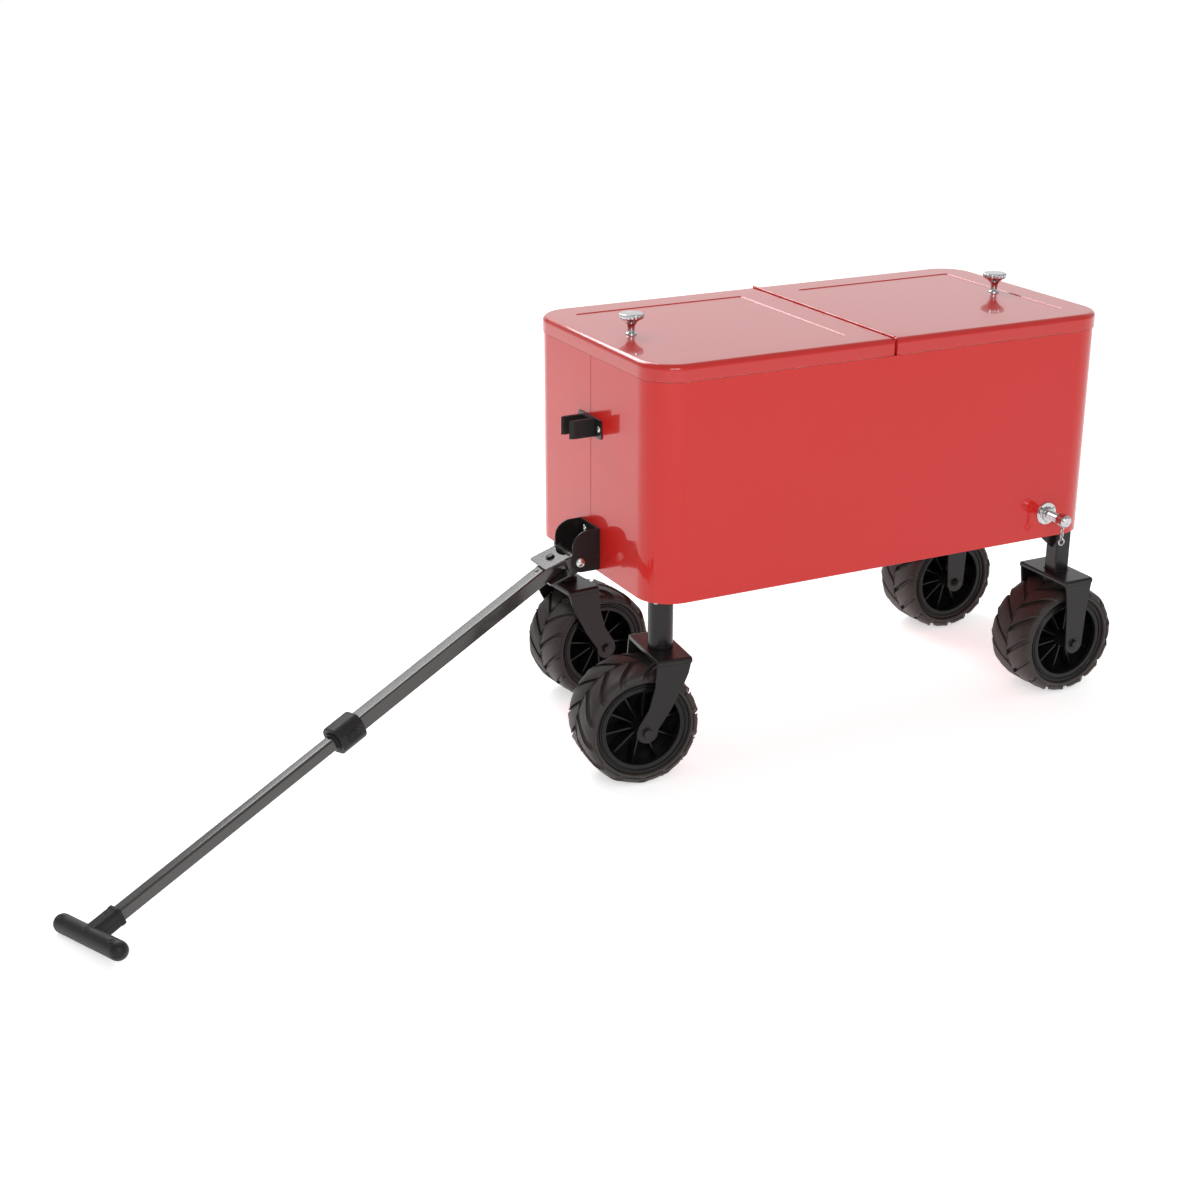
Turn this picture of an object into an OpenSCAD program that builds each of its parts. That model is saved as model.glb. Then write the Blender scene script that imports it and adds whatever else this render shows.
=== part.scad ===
// Insulated steel patio cooler on a four-wheeled pull cart, with two hinged lids,
// two swivelling front casters, two fixed rear wheels and a telescopic T-handle.
// Millimetres. Origin: centre of the flat underside of the body. +X runs along the
// body away from the handle, +Y towards the side without the drain, +Z up.

/* [Body] */
// Length of the cooler body, handle end to far end
body_len = 870; // [640:5:1060]
// Width of the cooler body
body_wid = 440; // [360:5:540]
// Height of the cooler body without its lids
body_h = 360; // [280:5:440]
// Radius of the four upright corners
corner_r = 58; // [45:1:70]
// Thickness of the steel sheet of the body
sheet_t = 0.8; // [0.6:0.1:1.4]
// Thickness of the steel bottom pan
pan_t = 1.2; // [0.8:0.1:2]
// Width of the insulated gap between the steel body and the tub
foam_gap = 29.2; // [20:0.2:36]
// Wall of the plastic tub
tub_wall = 3; // [2:0.5:4]
// Height of the tub's underside above the body's underside
tub_lift = 30; // [24:1:40]

/* [Lids] */
// Height of a lid's steel skirt
lid_h = 26.8; // [20:0.2:36]
// How far a lid stands out over the body
lid_over = 2; // [1:0.5:4]
// Open seam between the body and a closed lid
lid_seam = 1.2; // [0.8:0.1:2]
// Thickness of a lid's steel sheet
lid_t = 0.8; // [0.6:0.1:1.2]
// Width of the raised border around a lid's recessed panel
panel_border = 55; // [40:1:70]
// Depth of a lid's recessed panel
panel_dip = 1.2; // [0.6:0.1:2]
// Depth of the plug under a lid that enters the tub
plug_depth = 15; // [8:1:24]
// Play between a lid's plug and the tub's wall
plug_clear = 6; // [5:0.5:10]
// Radius of the hinge's rolled knuckles
hinge_r = 2.8; // [2.4:0.1:3.4]
// Radius of the hinge pin
hinge_pin_r = 1.2; // [1:0.1:1.6]
// Distance of a knob from the lid's outer end
knob_in = 75; // [60:1:110]
// Radius of a knob's top disc
knob_r = 20.5; // [16:0.5:24]
// Height of a knob
knob_h = 35; // [26:1:42]

/* [Cart] */
// Distance of a front leg's axis from the handle-end wall
front_leg_in = 38; // [36:1:60]
// Distance of a rear leg's axis from the far-end wall
rear_leg_in = 26; // [25:1:50]
// Distance of every leg's axis from the side wall
leg_in_y = 45; // [42:1:60]
// Outer radius of a front leg's round tube
front_tube_r = 20.5; // [17:0.5:22]
// Outer width of a rear leg's square tube
rear_tube_w = 30; // [25:1:34]
// Wall of the leg tubes
leg_wall = 2.5; // [2:0.5:3]
// Height of the fork plates' tops below the body
leg_drop = 85; // [70:1:110]
// Outer width of a fork
fork_w = 129; // [122:1:150]
// Length of a fork's top plate
fork_len = 60; // [50:1:74]
// Thickness of the fork steel
fork_t = 4; // [3:0.5:5]
// Radius of the rounded lower end of a fork's leg
fork_end_r = 18; // [16:0.5:26]
// Distance of a caster's axle behind its swivel axis
caster_trail = 46; // [30:1:60]
// Turn of the near caster at rest
near_turn = -6.5; // [-180:0.5:180]
// Turn of the far caster at rest
far_turn = 184.4; // [0:0.2:360]

/* [Wheels] */
// Outer radius of a wheel
wheel_r = 100; // [85:1:104]
// Width of a tyre
tyre_w = 102; // [80:1:110]
// Height of the axles below the fork plates' tops
axle_drop = 121; // [112:1:135]
// Radius of an axle bolt
axle_r = 5; // [4:0.5:6]
// Radius of the seat between the rim and its tyre
rim_r = 80; // [70:1:86]
// Inner radius of the rim's flat side ring
rim_ring_r = 64; // [55:1:72]
// Radius of the wheel's hub
hub_r = 15; // [10:0.5:20]
// Number of ribs in a rim
rib_count = 10; // [6:1:14]

/* [Handle] */
// Distance of the handle's pivot from the handle-end wall
pivot_out = 36; // [30:1:44]
// Height of the handle's pivot above the body's underside
pivot_z = 24; // [20:1:40]
// Outer width of the handle bracket
bracket_w = 69; // [60:1:80]
// Height of the handle bracket
bracket_h = 71; // [60:1:80]
// Length of the bracket's cheeks
bracket_len = 50; // [46:1:60]
// Thickness of the bracket and yoke steel
bracket_t = 3; // [2.5:0.5:4]
// Radius of the pivot bolt and bore of the yoke
pivot_r = 5; // [4:0.5:6]
// Distance from the pivot to the bolt that the handle turns on
yaw_off = 35; // [32:1:45]
// Radius of the bolt that the handle turns on
yaw_r = 4; // [3:0.5:5]
// Turn of the handle towards the near side at rest
yaw_rest = 19.8; // [-38:0.2:38]
// Distance from the turning bolt to the grip, handle drawn out
handle_len = 974; // [850:2:1100]
// Outer width of the square outer tube
outer_w = 25; // [22:0.5:30]
// Wall of the outer tube
outer_wall = 1.5; // [1:0.25:2]
// Outer width of the square inner tube
inner_w = 20; // [16:0.5:20]
// Wall of the inner tube
inner_wall = 1.5; // [1:0.25:2]
// Distance from the turning bolt to the middle of the collar
collar_at = 482; // [450:1:540]
// Length of the collar
collar_len = 48; // [40:1:60]
// Width of the collar
collar_w = 44; // [38:1:50]
// Radius of the grip's bar
grip_r = 14.5; // [12:0.5:18]
// Whole length of the grip's bar
grip_len = 170; // [120:1:200]
// Length of the grip's stem behind the bar
stem_len = 36; // [28:1:50]

/* [Clip] */
// Height of the clip's middle above the body's underside
clip_z = 245; // [200:1:260]
// Width of the clip's steel plate
clip_plate_w = 84; // [70:1:100]
// Height of the clip
clip_h = 30; // [20:1:40]
// Thickness of the clip's steel plate
clip_plate_t = 2; // [1.5:0.5:3]

/* [Drain] */
// Distance of the drain from the far-end wall
drain_in = 98; // [80:1:160]
// Height of the drain's axis above the body's underside
drain_z = 44; // [43:1:60]
// Radius of the drain pipe
drain_r = 8; // [6:0.5:9]
// Radius of the drain's flange
drain_flange_r = 20; // [17:0.5:24]
// Length of the drain pipe outside the body
drain_out = 50; // [35:1:60]

/* [Hidden] */

$fn = 48;
eps = 0.01;             // overlap that keeps a cut from ending on a face
over = 1;               // how far a through cut runs past its faces
corner_n = 16;          // flat facets in each rounded upright corner
play = 0.3;             // gap between parts that move past each other
bore_play = 0.05;       // radial running clearance of a pin in its bore
hole_play = 0.2;        // radial clearance of a bolt in a fixed hole

half_l = body_len / 2;
half_w = body_wid / 2;
in_l = half_l - sheet_t;
in_w = half_w - sheet_t;
tub_l = in_l - foam_gap;
tub_w = in_w - foam_gap;
tub_r = corner_r - sheet_t - foam_gap;
flange_t = 4;           // thickness of the tub's top flange
foam_z = 12;            // underside of the foam, above the leg flanges and nuts
seam_w = 1.2;           // width of the upright sheet seam on the handle-end wall
seam_dip = sheet_t / 2; // depth of that seam

lid_z = body_h + lid_seam;
lid_top = lid_z + lid_h;
lid_x = half_l + lid_over;
lid_y = half_w + lid_over;
lid_r = corner_r + lid_over;
hinge_z = lid_top + 0.5;
lid_edge = hinge_r + 0.2;
liner_t = 2.5;
gasket_t = 1.2;
gasket_w = 9;
plug_l = tub_l - tub_wall - plug_clear;
plug_w = tub_w - tub_wall - plug_clear;
plug_r = tub_r - tub_wall - 1;
rail_w = 28;            // width of the rail across the middle of the opening
rail_t = 1.2;           // thickness of the rail's plate and skirts
rail_skirt = 14;        // height of the rail's skirts
plug_x = rail_w / 2 + 4;
hinge_len = 2 * lid_y - 8;
knuckles = 13;
knuckle_len = hinge_len / knuckles;
leaf_t = 0.8;
leaf_low = 22;          // how far a hinge leaf reaches below the pin

leg_flange_r = 32;
wall_gap = 0.3;
bead_end = 96;          // pressed bead round the pan's middle, from each end
bead_side = 16;
bead_r = 20;
bead_w = 6;
bead_deep = 0.5;
leg_head_r = 4.4;
leg_head_h = 3.5;
clip_screw_r = 2.5;
clip_head_r = 4.5;
bracket_bolt_r = 3;
bracket_head_r = 5.5;
bracket_bolt_y = 17;
bracket_bolt_z = [20, bracket_h - 14];
cheek_top_r = 28;
cheek_low_r = 17;
axle_head_r = 8.5;
axle_head_h = 6;
axle_nut_h = 7;
stem_head_r = 12;
stem_head_h = 6;
stem_nut_r = 13;
stem_nut_h = 9;
leg_corner_y = corner_r - leg_in_y;
flange_room = corner_r - sheet_t - leg_flange_r - wall_gap;
tube_room = corner_r - sheet_t - wall_gap;
front_in = max(front_leg_in, corner_r - sqrt(max(0, pow(flange_room, 2) - pow(leg_corner_y, 2))));
rear_in = max(rear_leg_in, corner_r + rear_tube_w / 2
    - sqrt(max(0, pow(tube_room, 2) - pow(leg_corner_y + rear_tube_w / 2, 2))));
front_x = -half_l + front_in;
rear_x = half_l - rear_in;
leg_y = half_w - leg_in_y;
leg_flange_t = 4;
leg_top = pan_t + leg_flange_t;
leg_bolt_r = 2.5;
leg_pcr = front_tube_r + (leg_flange_r - front_tube_r) / 2;
rear_flange = rear_tube_w / 2 + 45;
rear_bolt_at = rear_tube_w / 2 + 28;
rear_bolts = [[-rear_bolt_at, -14], [-rear_bolt_at, -rear_bolt_at], [0, -rear_bolt_at]];
gusset = 42;
stem_r = 8;
bush_flange_t = 4.7;
bush_len = 60;
fork_z = -leg_drop;
axle_z = -leg_drop - axle_drop;
floor_z = axle_z - wheel_r;
hub_half = fork_w / 2 - fork_t - 0.5;
tyre_bead_half = 46;
rim_half = tyre_w / 2 - 5;

pivot_x = -half_l - pivot_out;
bracket_z = 6;
cheek_in = bracket_w / 2 - bracket_t;
yoke_half = cheek_in - 0.5;
yoke_gap = outer_w / 2 + 0.5;
yoke_plate_t = 3.5;
yoke_top = yoke_gap + yoke_plate_t;
yoke_back = 12;
yoke_len = 48;
grip_reach = yaw_off + handle_len * cos(yaw_rest) + (grip_len / 2 - grip_r) * sin(yaw_rest);
pitch_rest = asin((pivot_z - floor_z - grip_r) / grip_reach);
outer_end = collar_at + 8;
inner_start = outer_end - 60;
stem_half = inner_w / 2 + 6;
screw_z = inner_w / 2 + 0.6;  // seats of the grip screws, just above the inner tube

clip_wall = 6;
clip_out = 46;
clip_gap = outer_w / 2 + play;
clip_screw_y = clip_plate_w / 2 - 9;

drain_x = half_l - drain_in;
cap_len = 16;
cap_r = drain_r + 3;
eyelet_r = 2.2;         // mean radius of the cap's eyelet
eyelet_z = drain_z - cap_r - 1.8;
link_r = 3.6;           // mean radius of a chain link
link_wire = 0.7;        // radius of its wire
link_count = 4;
link_pitch_gap = 2 * link_wire + 0.2;
link_pitch = 2 * link_r - link_pitch_gap;
end_ring_r = 5.6;

// ---- shared shapes ----
function arc(cx, cy, r, a0, a1, n) =
    [for (i = [0:n]) [cx + r * cos(a0 + (a1 - a0) * i / n), cy + r * sin(a0 + (a1 - a0) * i / n)]];

function round_rect(hx, hy, r) = concat(
    arc(hx - r, hy - r, r, 0, 90, corner_n),
    arc(-hx + r, hy - r, r, 90, 180, corner_n),
    arc(-hx + r, -hy + r, r, 180, 270, corner_n),
    arc(hx - r, -hy + r, r, 270, 360, corner_n));

// Upright prism with rounded corners, half sizes hx and hy, from z0 to z1
module prism(hx, hy, r, z0, z1) {
    translate([0, 0, z0]) linear_extrude(z1 - z0) polygon(round_rect(hx, hy, r));
}

// Prism with two rounded corners at its -X end and a square +X end at x_in
module end_prism(x_out, x_in, hy, r, z0, z1) {
    outline = concat(
        [[x_in, -hy], [x_in, hy]],
        arc(-x_out + r, hy - r, r, 90, 180, corner_n),
        arc(-x_out + r, -hy + r, r, 180, 270, corner_n));
    translate([0, 0, z0]) linear_extrude(z1 - z0) polygon(outline);
}

module block(x0, x1, y0, y1, z0, z1) {
    translate([x0, y0, z0]) cube([x1 - x0, y1 - y0, z1 - z0]);
}

// Cylinder along +X from x0 to x1, or along +Y from y0 to y1
module rod_x(r, x0, x1) {
    translate([x0, 0, 0]) rotate([0, 90, 0]) cylinder(r = r, h = x1 - x0);
}
module rod_y(r, y0, y1) {
    translate([0, y0, 0]) rotate([-90, 0, 0]) cylinder(r = r, h = y1 - y0);
}

module both_sides() {
    for (s = [-1, 1]) translate([0, s * leg_y, 0]) children();
}

// ---- body ----
module clip_screw_spots() {
    for (s = [-1, 1]) translate([-half_l, s * clip_screw_y, clip_z]) children();
}

module bracket_bolt_spots() {
    for (s = [-1, 1], z = bracket_bolt_z)
        translate([-half_l, s * bracket_bolt_y, bracket_z + z]) children();
}

module body_shell() color("firebrick") difference() {
    prism(half_l, half_w, corner_r, 0, body_h);
    prism(in_l, in_w, corner_r - sheet_t, -over, body_h + over);
    block(-half_l - over, -half_l + seam_dip, -seam_w / 2, seam_w / 2, -over, body_h + over);
    clip_screw_spots() rod_x(clip_screw_r + hole_play, -over, sheet_t + over);
    bracket_bolt_spots() rod_x(bracket_bolt_r + hole_play, -over, sheet_t + over);
    translate([drain_x, 0, drain_z]) rod_y(drain_r + hole_play, -half_w - over, -in_w + over);
}

module leg_bolt_spots() {
    both_sides() translate([front_x, 0, 0])
        for (a = [45:90:315]) rotate([0, 0, a]) translate([leg_pcr, 0, 0]) children();
    for (s = [-1, 1], p = rear_bolts)
        translate([rear_x + p[0], s * (leg_y + p[1]), 0]) children();
}

module bottom_pan() color("firebrick") difference() {
    prism(in_l, in_w, corner_r - sheet_t, 0, pan_t);
    both_sides() translate([front_x, 0, -over]) cylinder(r = front_tube_r + hole_play, h = pan_t + 2 * over);
    both_sides() translate([rear_x, 0, 0])
        block(-rear_tube_w / 2 - hole_play, rear_tube_w / 2 + hole_play,
              -rear_tube_w / 2 - hole_play, rear_tube_w / 2 + hole_play, -over, pan_t + over);
    translate([0, 0, -over]) leg_bolt_spots() cylinder(r = leg_bolt_r + hole_play, h = pan_t + 2 * over);
    difference() {
        prism(half_l - bead_end, half_w - bead_side, bead_r, -over, bead_deep);
        prism(half_l - bead_end - bead_w, half_w - bead_side - bead_w, bead_r - bead_w, -2 * over, pan_t);
    }
}

module foam_insulation() color("lightyellow") difference() {
    prism(in_l, in_w, corner_r - sheet_t, foam_z, body_h - flange_t);
    prism(tub_l, tub_w, tub_r, tub_lift, body_h);
    clip_screw_spots() rod_x(4, -over, 14);
    bracket_bolt_spots() rod_x(7, -over, 14);
    translate([drain_x, 0, drain_z]) rod_y(drain_r, -half_w, -tub_w + over);
}

module inner_tub() color("whitesmoke") difference() {
    union() {
        prism(tub_l, tub_w, tub_r, tub_lift + tub_wall, body_h);
        prism(in_l, in_w, corner_r - sheet_t, body_h - flange_t, body_h);
    }
    prism(tub_l - tub_wall, tub_w - tub_wall, tub_r - tub_wall, tub_lift, body_h + over);
    block(-rail_w / 2, rail_w / 2, -half_w, half_w, body_h - rail_t, body_h + over);
    translate([drain_x, 0, drain_z]) rod_y(drain_r + hole_play, -half_w, -tub_w + tub_wall + over);
}

module tub_floor() color("whitesmoke") prism(tub_l, tub_w, tub_r, tub_lift, tub_lift + tub_wall);

// ---- hinge across the middle ----
module knuckle_row(first, step, bore) {
    for (i = [first:step:knuckles - 1])
        translate([0, -hinge_len / 2 + i * knuckle_len, hinge_z]) difference() {
            rod_y(hinge_r, 0.2, knuckle_len - 0.2);
            rod_y(bore, -over, knuckle_len + over);
        }
}

// Flat tabs that join the knuckles of one owner to their plate
module tab_row(first, step, x0, x1) {
    for (i = [first:step:knuckles - 1])
        translate([0, -hinge_len / 2 + i * knuckle_len, 0]) difference() {
            block(x0, x1, 0.2, knuckle_len - 0.2, hinge_z - hinge_r - 1, hinge_z);
            translate([0, 0, hinge_z]) rod_y(hinge_r - 0.4, -over, knuckle_len + over);
        }
}

module center_rail() color("firebrick") union() {
    block(-rail_w / 2, rail_w / 2, -in_w, in_w, body_h - rail_t, body_h);
    for (s = [0, 1]) mirror([s, 0, 0])
        block(rail_w / 2 - rail_t, rail_w / 2, -tub_w + tub_wall + 0.2, tub_w - tub_wall - 0.2,
              body_h - rail_skirt, body_h - rail_t + eps);
    block(-0.9, 0.9, -hinge_len / 2, hinge_len / 2, body_h - eps, hinge_z - hinge_r - 0.4);
    for (i = [0:2:knuckles - 1])
        translate([0, -hinge_len / 2 + i * knuckle_len, 0])
            block(-0.9, 0.9, 0.2, knuckle_len - 0.2, hinge_z - hinge_r - 1, hinge_z - hinge_pin_r - 0.5);
    knuckle_row(0, 2, hinge_pin_r);
}

module hinge_pin() color("silver")
    translate([0, 0, hinge_z]) rod_y(hinge_pin_r, -hinge_len / 2 - 2, hinge_len / 2 + 2);

module hinge_leaf(first) union() {
    block(-lid_edge, -lid_edge + leaf_t, -hinge_len / 2, hinge_len / 2,
          hinge_z - leaf_low, hinge_z - hinge_r - 0.4);
    tab_row(first, 4, -lid_edge, -lid_edge + leaf_t);
    knuckle_row(first, 4, hinge_pin_r + bore_play);
}

// ---- lids, drawn for the handle end and mirrored for the far end ----
module panel_prism(shrink, z0, z1) {
    block(-lid_x + panel_border + shrink, -lid_edge - panel_border - shrink,
          -lid_y + panel_border + shrink, lid_y - panel_border - shrink, z0, z1);
}

module lid_skin() difference() {
    end_prism(lid_x, -lid_edge, lid_y, lid_r, lid_z, lid_top);
    difference() {
        end_prism(lid_x - lid_t, -lid_edge - lid_t, lid_y - lid_t, lid_r - lid_t, lid_z - over, lid_top - lid_t);
        panel_prism(-lid_t, lid_top - lid_t - panel_dip, lid_top);
    }
    panel_prism(0, lid_top - panel_dip, lid_top + over);
    translate([-lid_x + knob_in, 0, lid_top - lid_t - panel_dip - over]) cylinder(r = 2.7, h = 2 * over + lid_t);
}

module lid_foam() difference() {
    end_prism(lid_x - lid_t, -lid_edge - lid_t, lid_y - lid_t, lid_r - lid_t,
              lid_z + liner_t, lid_top - lid_t - panel_dip);
    translate([-lid_x + knob_in, 0, lid_top - lid_t - panel_dip - 12]) cylinder(r = 7, h = 13);
}

module lid_liner() difference() {
    union() {
        end_prism(lid_x - lid_t, -lid_edge - lid_t, lid_y - lid_t, lid_r - lid_t, lid_z, lid_z + liner_t);
        end_prism(plug_l, -plug_x, plug_w, plug_r, lid_z - plug_depth, lid_z + eps);
    }
    end_prism(plug_l - liner_t, -plug_x - liner_t, plug_w - liner_t, plug_r - liner_t,
              lid_z - plug_depth + liner_t, lid_z + liner_t + over);
}

module lid_gasket() difference() {
    end_prism(plug_l + gasket_w, -plug_x + 3, plug_w + gasket_w, plug_r + gasket_w,
              lid_z - gasket_t + play, lid_z);
    end_prism(plug_l, -plug_x, plug_w, plug_r, lid_z - gasket_t - over, lid_z + over);
}

module lid_knob() {
    profile = concat(
        [[0, 0], [9, 0], [8.2, 2.5]],
        [for (i = [0:8]) let (t = i / 8) [7.4 + (knob_r - 8.4) * pow(t, 2.4), 6 + (knob_h - 13) * t]],
        [[knob_r, knob_h - 5.5], [knob_r, knob_h - 2.5], [knob_r - 1.8, knob_h - 0.6], [0, knob_h]]);
    translate([-lid_x + knob_in, 0, lid_top - panel_dip]) union() {
        rotate_extrude() polygon(profile);
        translate([0, 0, -lid_t - 8]) cylinder(r = 2.5, h = lid_t + 8 + eps);
        translate([0, 0, -lid_t - 4]) cylinder(r = 6, h = 4);
    }
}

module left_lid_skin() color("red") lid_skin();
module left_lid_foam() color("lightyellow") lid_foam();
module left_lid_liner() color("whitesmoke") lid_liner();
module left_lid_gasket() color("dimgray") lid_gasket();
module left_lid_knob() color("silver") lid_knob();
module left_hinge_leaf() color("firebrick") hinge_leaf(1);
module right_lid_skin() color("red") mirror([1, 0, 0]) lid_skin();
module right_lid_foam() color("lightyellow") mirror([1, 0, 0]) lid_foam();
module right_lid_liner() color("whitesmoke") mirror([1, 0, 0]) lid_liner();
module right_lid_gasket() color("dimgray") mirror([1, 0, 0]) lid_gasket();
module right_lid_knob() color("silver") mirror([1, 0, 0]) lid_knob();
module right_hinge_leaf() color("firebrick") mirror([1, 0, 0]) hinge_leaf(3);

// ---- clip that holds the handle upright ----
module clip_plate() color([0.2, 0.2, 0.2]) difference() {
    block(-half_l - clip_plate_t, -half_l, -clip_plate_w / 2, clip_plate_w / 2,
          clip_z - clip_h / 2 - 1, clip_z + clip_h / 2 + 1);
    clip_screw_spots() rod_x(clip_screw_r + hole_play, -clip_plate_t - over, over);
}

module handle_clip() color("black") {
    back = -half_l - clip_plate_t;
    front = -half_l - clip_out;
    outline = [
        [back, -clip_gap - clip_wall], [back, clip_gap + clip_wall],
        [front + 8, clip_gap + clip_wall], [front, clip_gap + clip_wall - 2], [front, clip_gap + 3],
        [front + 6, clip_gap], [back - 6, clip_gap], [back - 6, -clip_gap],
        [front + 6, -clip_gap], [front, -clip_gap - 3], [front, -clip_gap - clip_wall + 2],
        [front + 8, -clip_gap - clip_wall]
    ];
    translate([0, 0, clip_z - clip_h / 2]) linear_extrude(clip_h) polygon(outline);
}

// ---- handle bracket on the wall ----
module cheek(y0) {
    outline = concat(
        [[0, 0]],
        [[0, bracket_h]],
        [[-bracket_len + cheek_top_r, bracket_h]],
        arc(-bracket_len + cheek_top_r, bracket_h - cheek_top_r, cheek_top_r, 90, 180, 8),
        arc(-bracket_len + cheek_low_r, cheek_low_r, cheek_low_r, 180, 270, 8));
    translate([-half_l, y0 + bracket_t, bracket_z]) rotate([90, 0, 0])
        linear_extrude(bracket_t) polygon(outline);
}

module handle_bracket() color([0.15, 0.15, 0.15]) difference() {
    union() {
        block(-half_l - bracket_t, -half_l, -bracket_w / 2, bracket_w / 2, bracket_z, bracket_z + bracket_h);
        cheek(-bracket_w / 2);
        cheek(cheek_in);
    }
    bracket_bolt_spots() rod_x(bracket_bolt_r + hole_play, -bracket_t - over, over);
    translate([pivot_x, 0, pivot_z]) rod_y(pivot_r + hole_play, -bracket_w, bracket_w);
}

module wall_screws() color("silver") {
    clip_screw_spots() {
        rod_x(clip_screw_r, -clip_plate_t - eps, 8);
        rod_x(clip_head_r, -clip_plate_t - 2.5, -clip_plate_t);
    }
    bracket_bolt_spots() {
        rod_x(bracket_bolt_r, -bracket_t - eps, 10);
        rod_x(bracket_head_r, -bracket_t - 3, -bracket_t);
        rod_x(bracket_head_r, sheet_t, sheet_t + 4);
    }
}

module pivot_bolt() color("silver") translate([pivot_x, 0, pivot_z]) {
    rod_y(pivot_r, -bracket_w / 2 - eps, bracket_w / 2 + 9);
    rod_y(8, -bracket_w / 2 - 5, -bracket_w / 2);
    rod_y(9, bracket_w / 2, bracket_w / 2 + 6);
}

// ---- legs ----
module front_leg(s) color([0.15, 0.15, 0.15]) translate([front_x, s * leg_y, 0]) difference() {
    union() {
        translate([0, 0, fork_z + play + bush_flange_t])
            cylinder(r = front_tube_r, h = leg_top - fork_z - play - bush_flange_t);
        translate([0, 0, pan_t]) cylinder(r = leg_flange_r, h = leg_flange_t);
    }
    translate([0, 0, fork_z - over]) cylinder(r = front_tube_r - leg_wall, h = leg_drop + leg_top + 2 * over);
    for (a = [45:90:315]) rotate([0, 0, a])
        translate([leg_pcr, 0, pan_t - over]) cylinder(r = leg_bolt_r + hole_play, h = leg_flange_t + 2 * over);
}

module rear_leg(s) color([0.15, 0.15, 0.15]) translate([rear_x, s * leg_y, 0]) scale([1, s, 1]) {
    half = rear_tube_w / 2;
    inner = half - leg_wall;
    difference() {
        union() {
            block(-half, half, -half, half, fork_z, leg_top);
            block(-rear_flange, half, -rear_flange, half, pan_t, leg_top);
            translate([0, leg_wall / 2 + 0.75, 0]) rotate([90, 0, 0]) linear_extrude(leg_wall + 1.5)
                polygon([[-half + eps, -0.4], [-half - gusset, -0.4], [-half + eps, -gusset]]);
        }
        block(-inner, inner, -inner, inner, fork_z - over, leg_top + over);
        for (p = rear_bolts)
            translate([p[0], p[1], pan_t - over]) cylinder(r = leg_bolt_r + hole_play, h = leg_flange_t + 2 * over);
    }
}

module front_leg_near() front_leg(-1);
module front_leg_far() front_leg(1);
module rear_leg_near() rear_leg(-1);
module rear_leg_far() rear_leg(1);

module leg_bolts() color("silver") leg_bolt_spots() {
    translate([0, 0, -leg_head_h]) cylinder(r = leg_head_r, h = leg_head_h);
    translate([0, 0, -eps]) cylinder(r = leg_bolt_r, h = foam_z - 1.5);
    translate([0, 0, leg_top]) cylinder(r = leg_head_r, h = leg_head_h);
}

module caster_bushes() color("dimgray") both_sides() translate([front_x, 0, 0]) difference() {
    union() {
        translate([0, 0, fork_z + play]) cylinder(r = front_tube_r, h = bush_flange_t);
        translate([0, 0, fork_z + play + bush_flange_t - eps]) cylinder(r = front_tube_r - leg_wall, h = bush_len);
    }
    translate([0, 0, fork_z]) cylinder(r = stem_r + bore_play, h = bush_len + 20);
}

// ---- forks and axles ----
module fork_body(trail) {
    outline = concat(
        [[fork_len / 2, 0], [-fork_len / 2, 0]],
        arc(-trail, -axle_drop, fork_end_r, 180, 360, 16));
    difference() {
        union() {
            block(-fork_len / 2, fork_len / 2, -fork_w / 2, fork_w / 2, -fork_t, 0);
            for (y = [-fork_w / 2 + fork_t, fork_w / 2])
                translate([0, y, 0]) rotate([90, 0, 0]) linear_extrude(fork_t) polygon(outline);
        }
        translate([-trail, 0, -axle_drop]) rod_y(axle_r + hole_play, -fork_w, fork_w);
    }
}

module axle_bolt() {
    rod_y(axle_r, -fork_w / 2 - eps, fork_w / 2 + axle_nut_h + 2);
    rod_y(axle_head_r, -fork_w / 2 - axle_head_h, -fork_w / 2);
    rod_y(axle_head_r, fork_w / 2, fork_w / 2 + axle_nut_h);
}

module rear_fork(s) color([0.15, 0.15, 0.15]) translate([rear_x, s * leg_y, fork_z]) fork_body(0);
module rear_fork_near() rear_fork(-1);
module rear_fork_far() rear_fork(1);

module rear_axles() color("dimgray")
    for (s = [-1, 1]) translate([rear_x, s * leg_y, axle_z]) scale([1, -s, 1]) axle_bolt();

module at_caster(s) {
    turn = s < 0 ? near_turn : far_turn;
    translate([front_x, s * leg_y, 0]) rotate([0, 0, turn]) children();
}

module caster_fork(s) color([0.15, 0.15, 0.15]) at_caster(s) translate([0, 0, fork_z]) difference() {
    fork_body(caster_trail);
    translate([0, 0, -fork_t - over]) cylinder(r = stem_r + hole_play, h = fork_t + 2 * over);
}

module caster_stem(s) color("dimgray") at_caster(s) {
    bush_top = fork_z + play + bush_flange_t + bush_len;
    translate([0, 0, fork_z - fork_t - stem_head_h]) cylinder(r = stem_head_r, h = stem_head_h);
    translate([0, 0, fork_z - fork_t - eps])
        cylinder(r = stem_r, h = bush_top - fork_z + fork_t + stem_nut_h + 3);
    translate([0, 0, bush_top + play]) cylinder(r = stem_nut_r, h = stem_nut_h);
}

module caster_axle(s) color("dimgray")
    at_caster(s) translate([-caster_trail, 0, axle_z]) scale([1, s < 0 ? 1 : -1, 1]) axle_bolt();

module caster_fork_near() caster_fork(-1);
module caster_fork_far() caster_fork(1);
module caster_stem_near() caster_stem(-1);
module caster_stem_far() caster_stem(1);
module caster_axle_near() caster_axle(-1);
module caster_axle_far() caster_axle(1);

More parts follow.
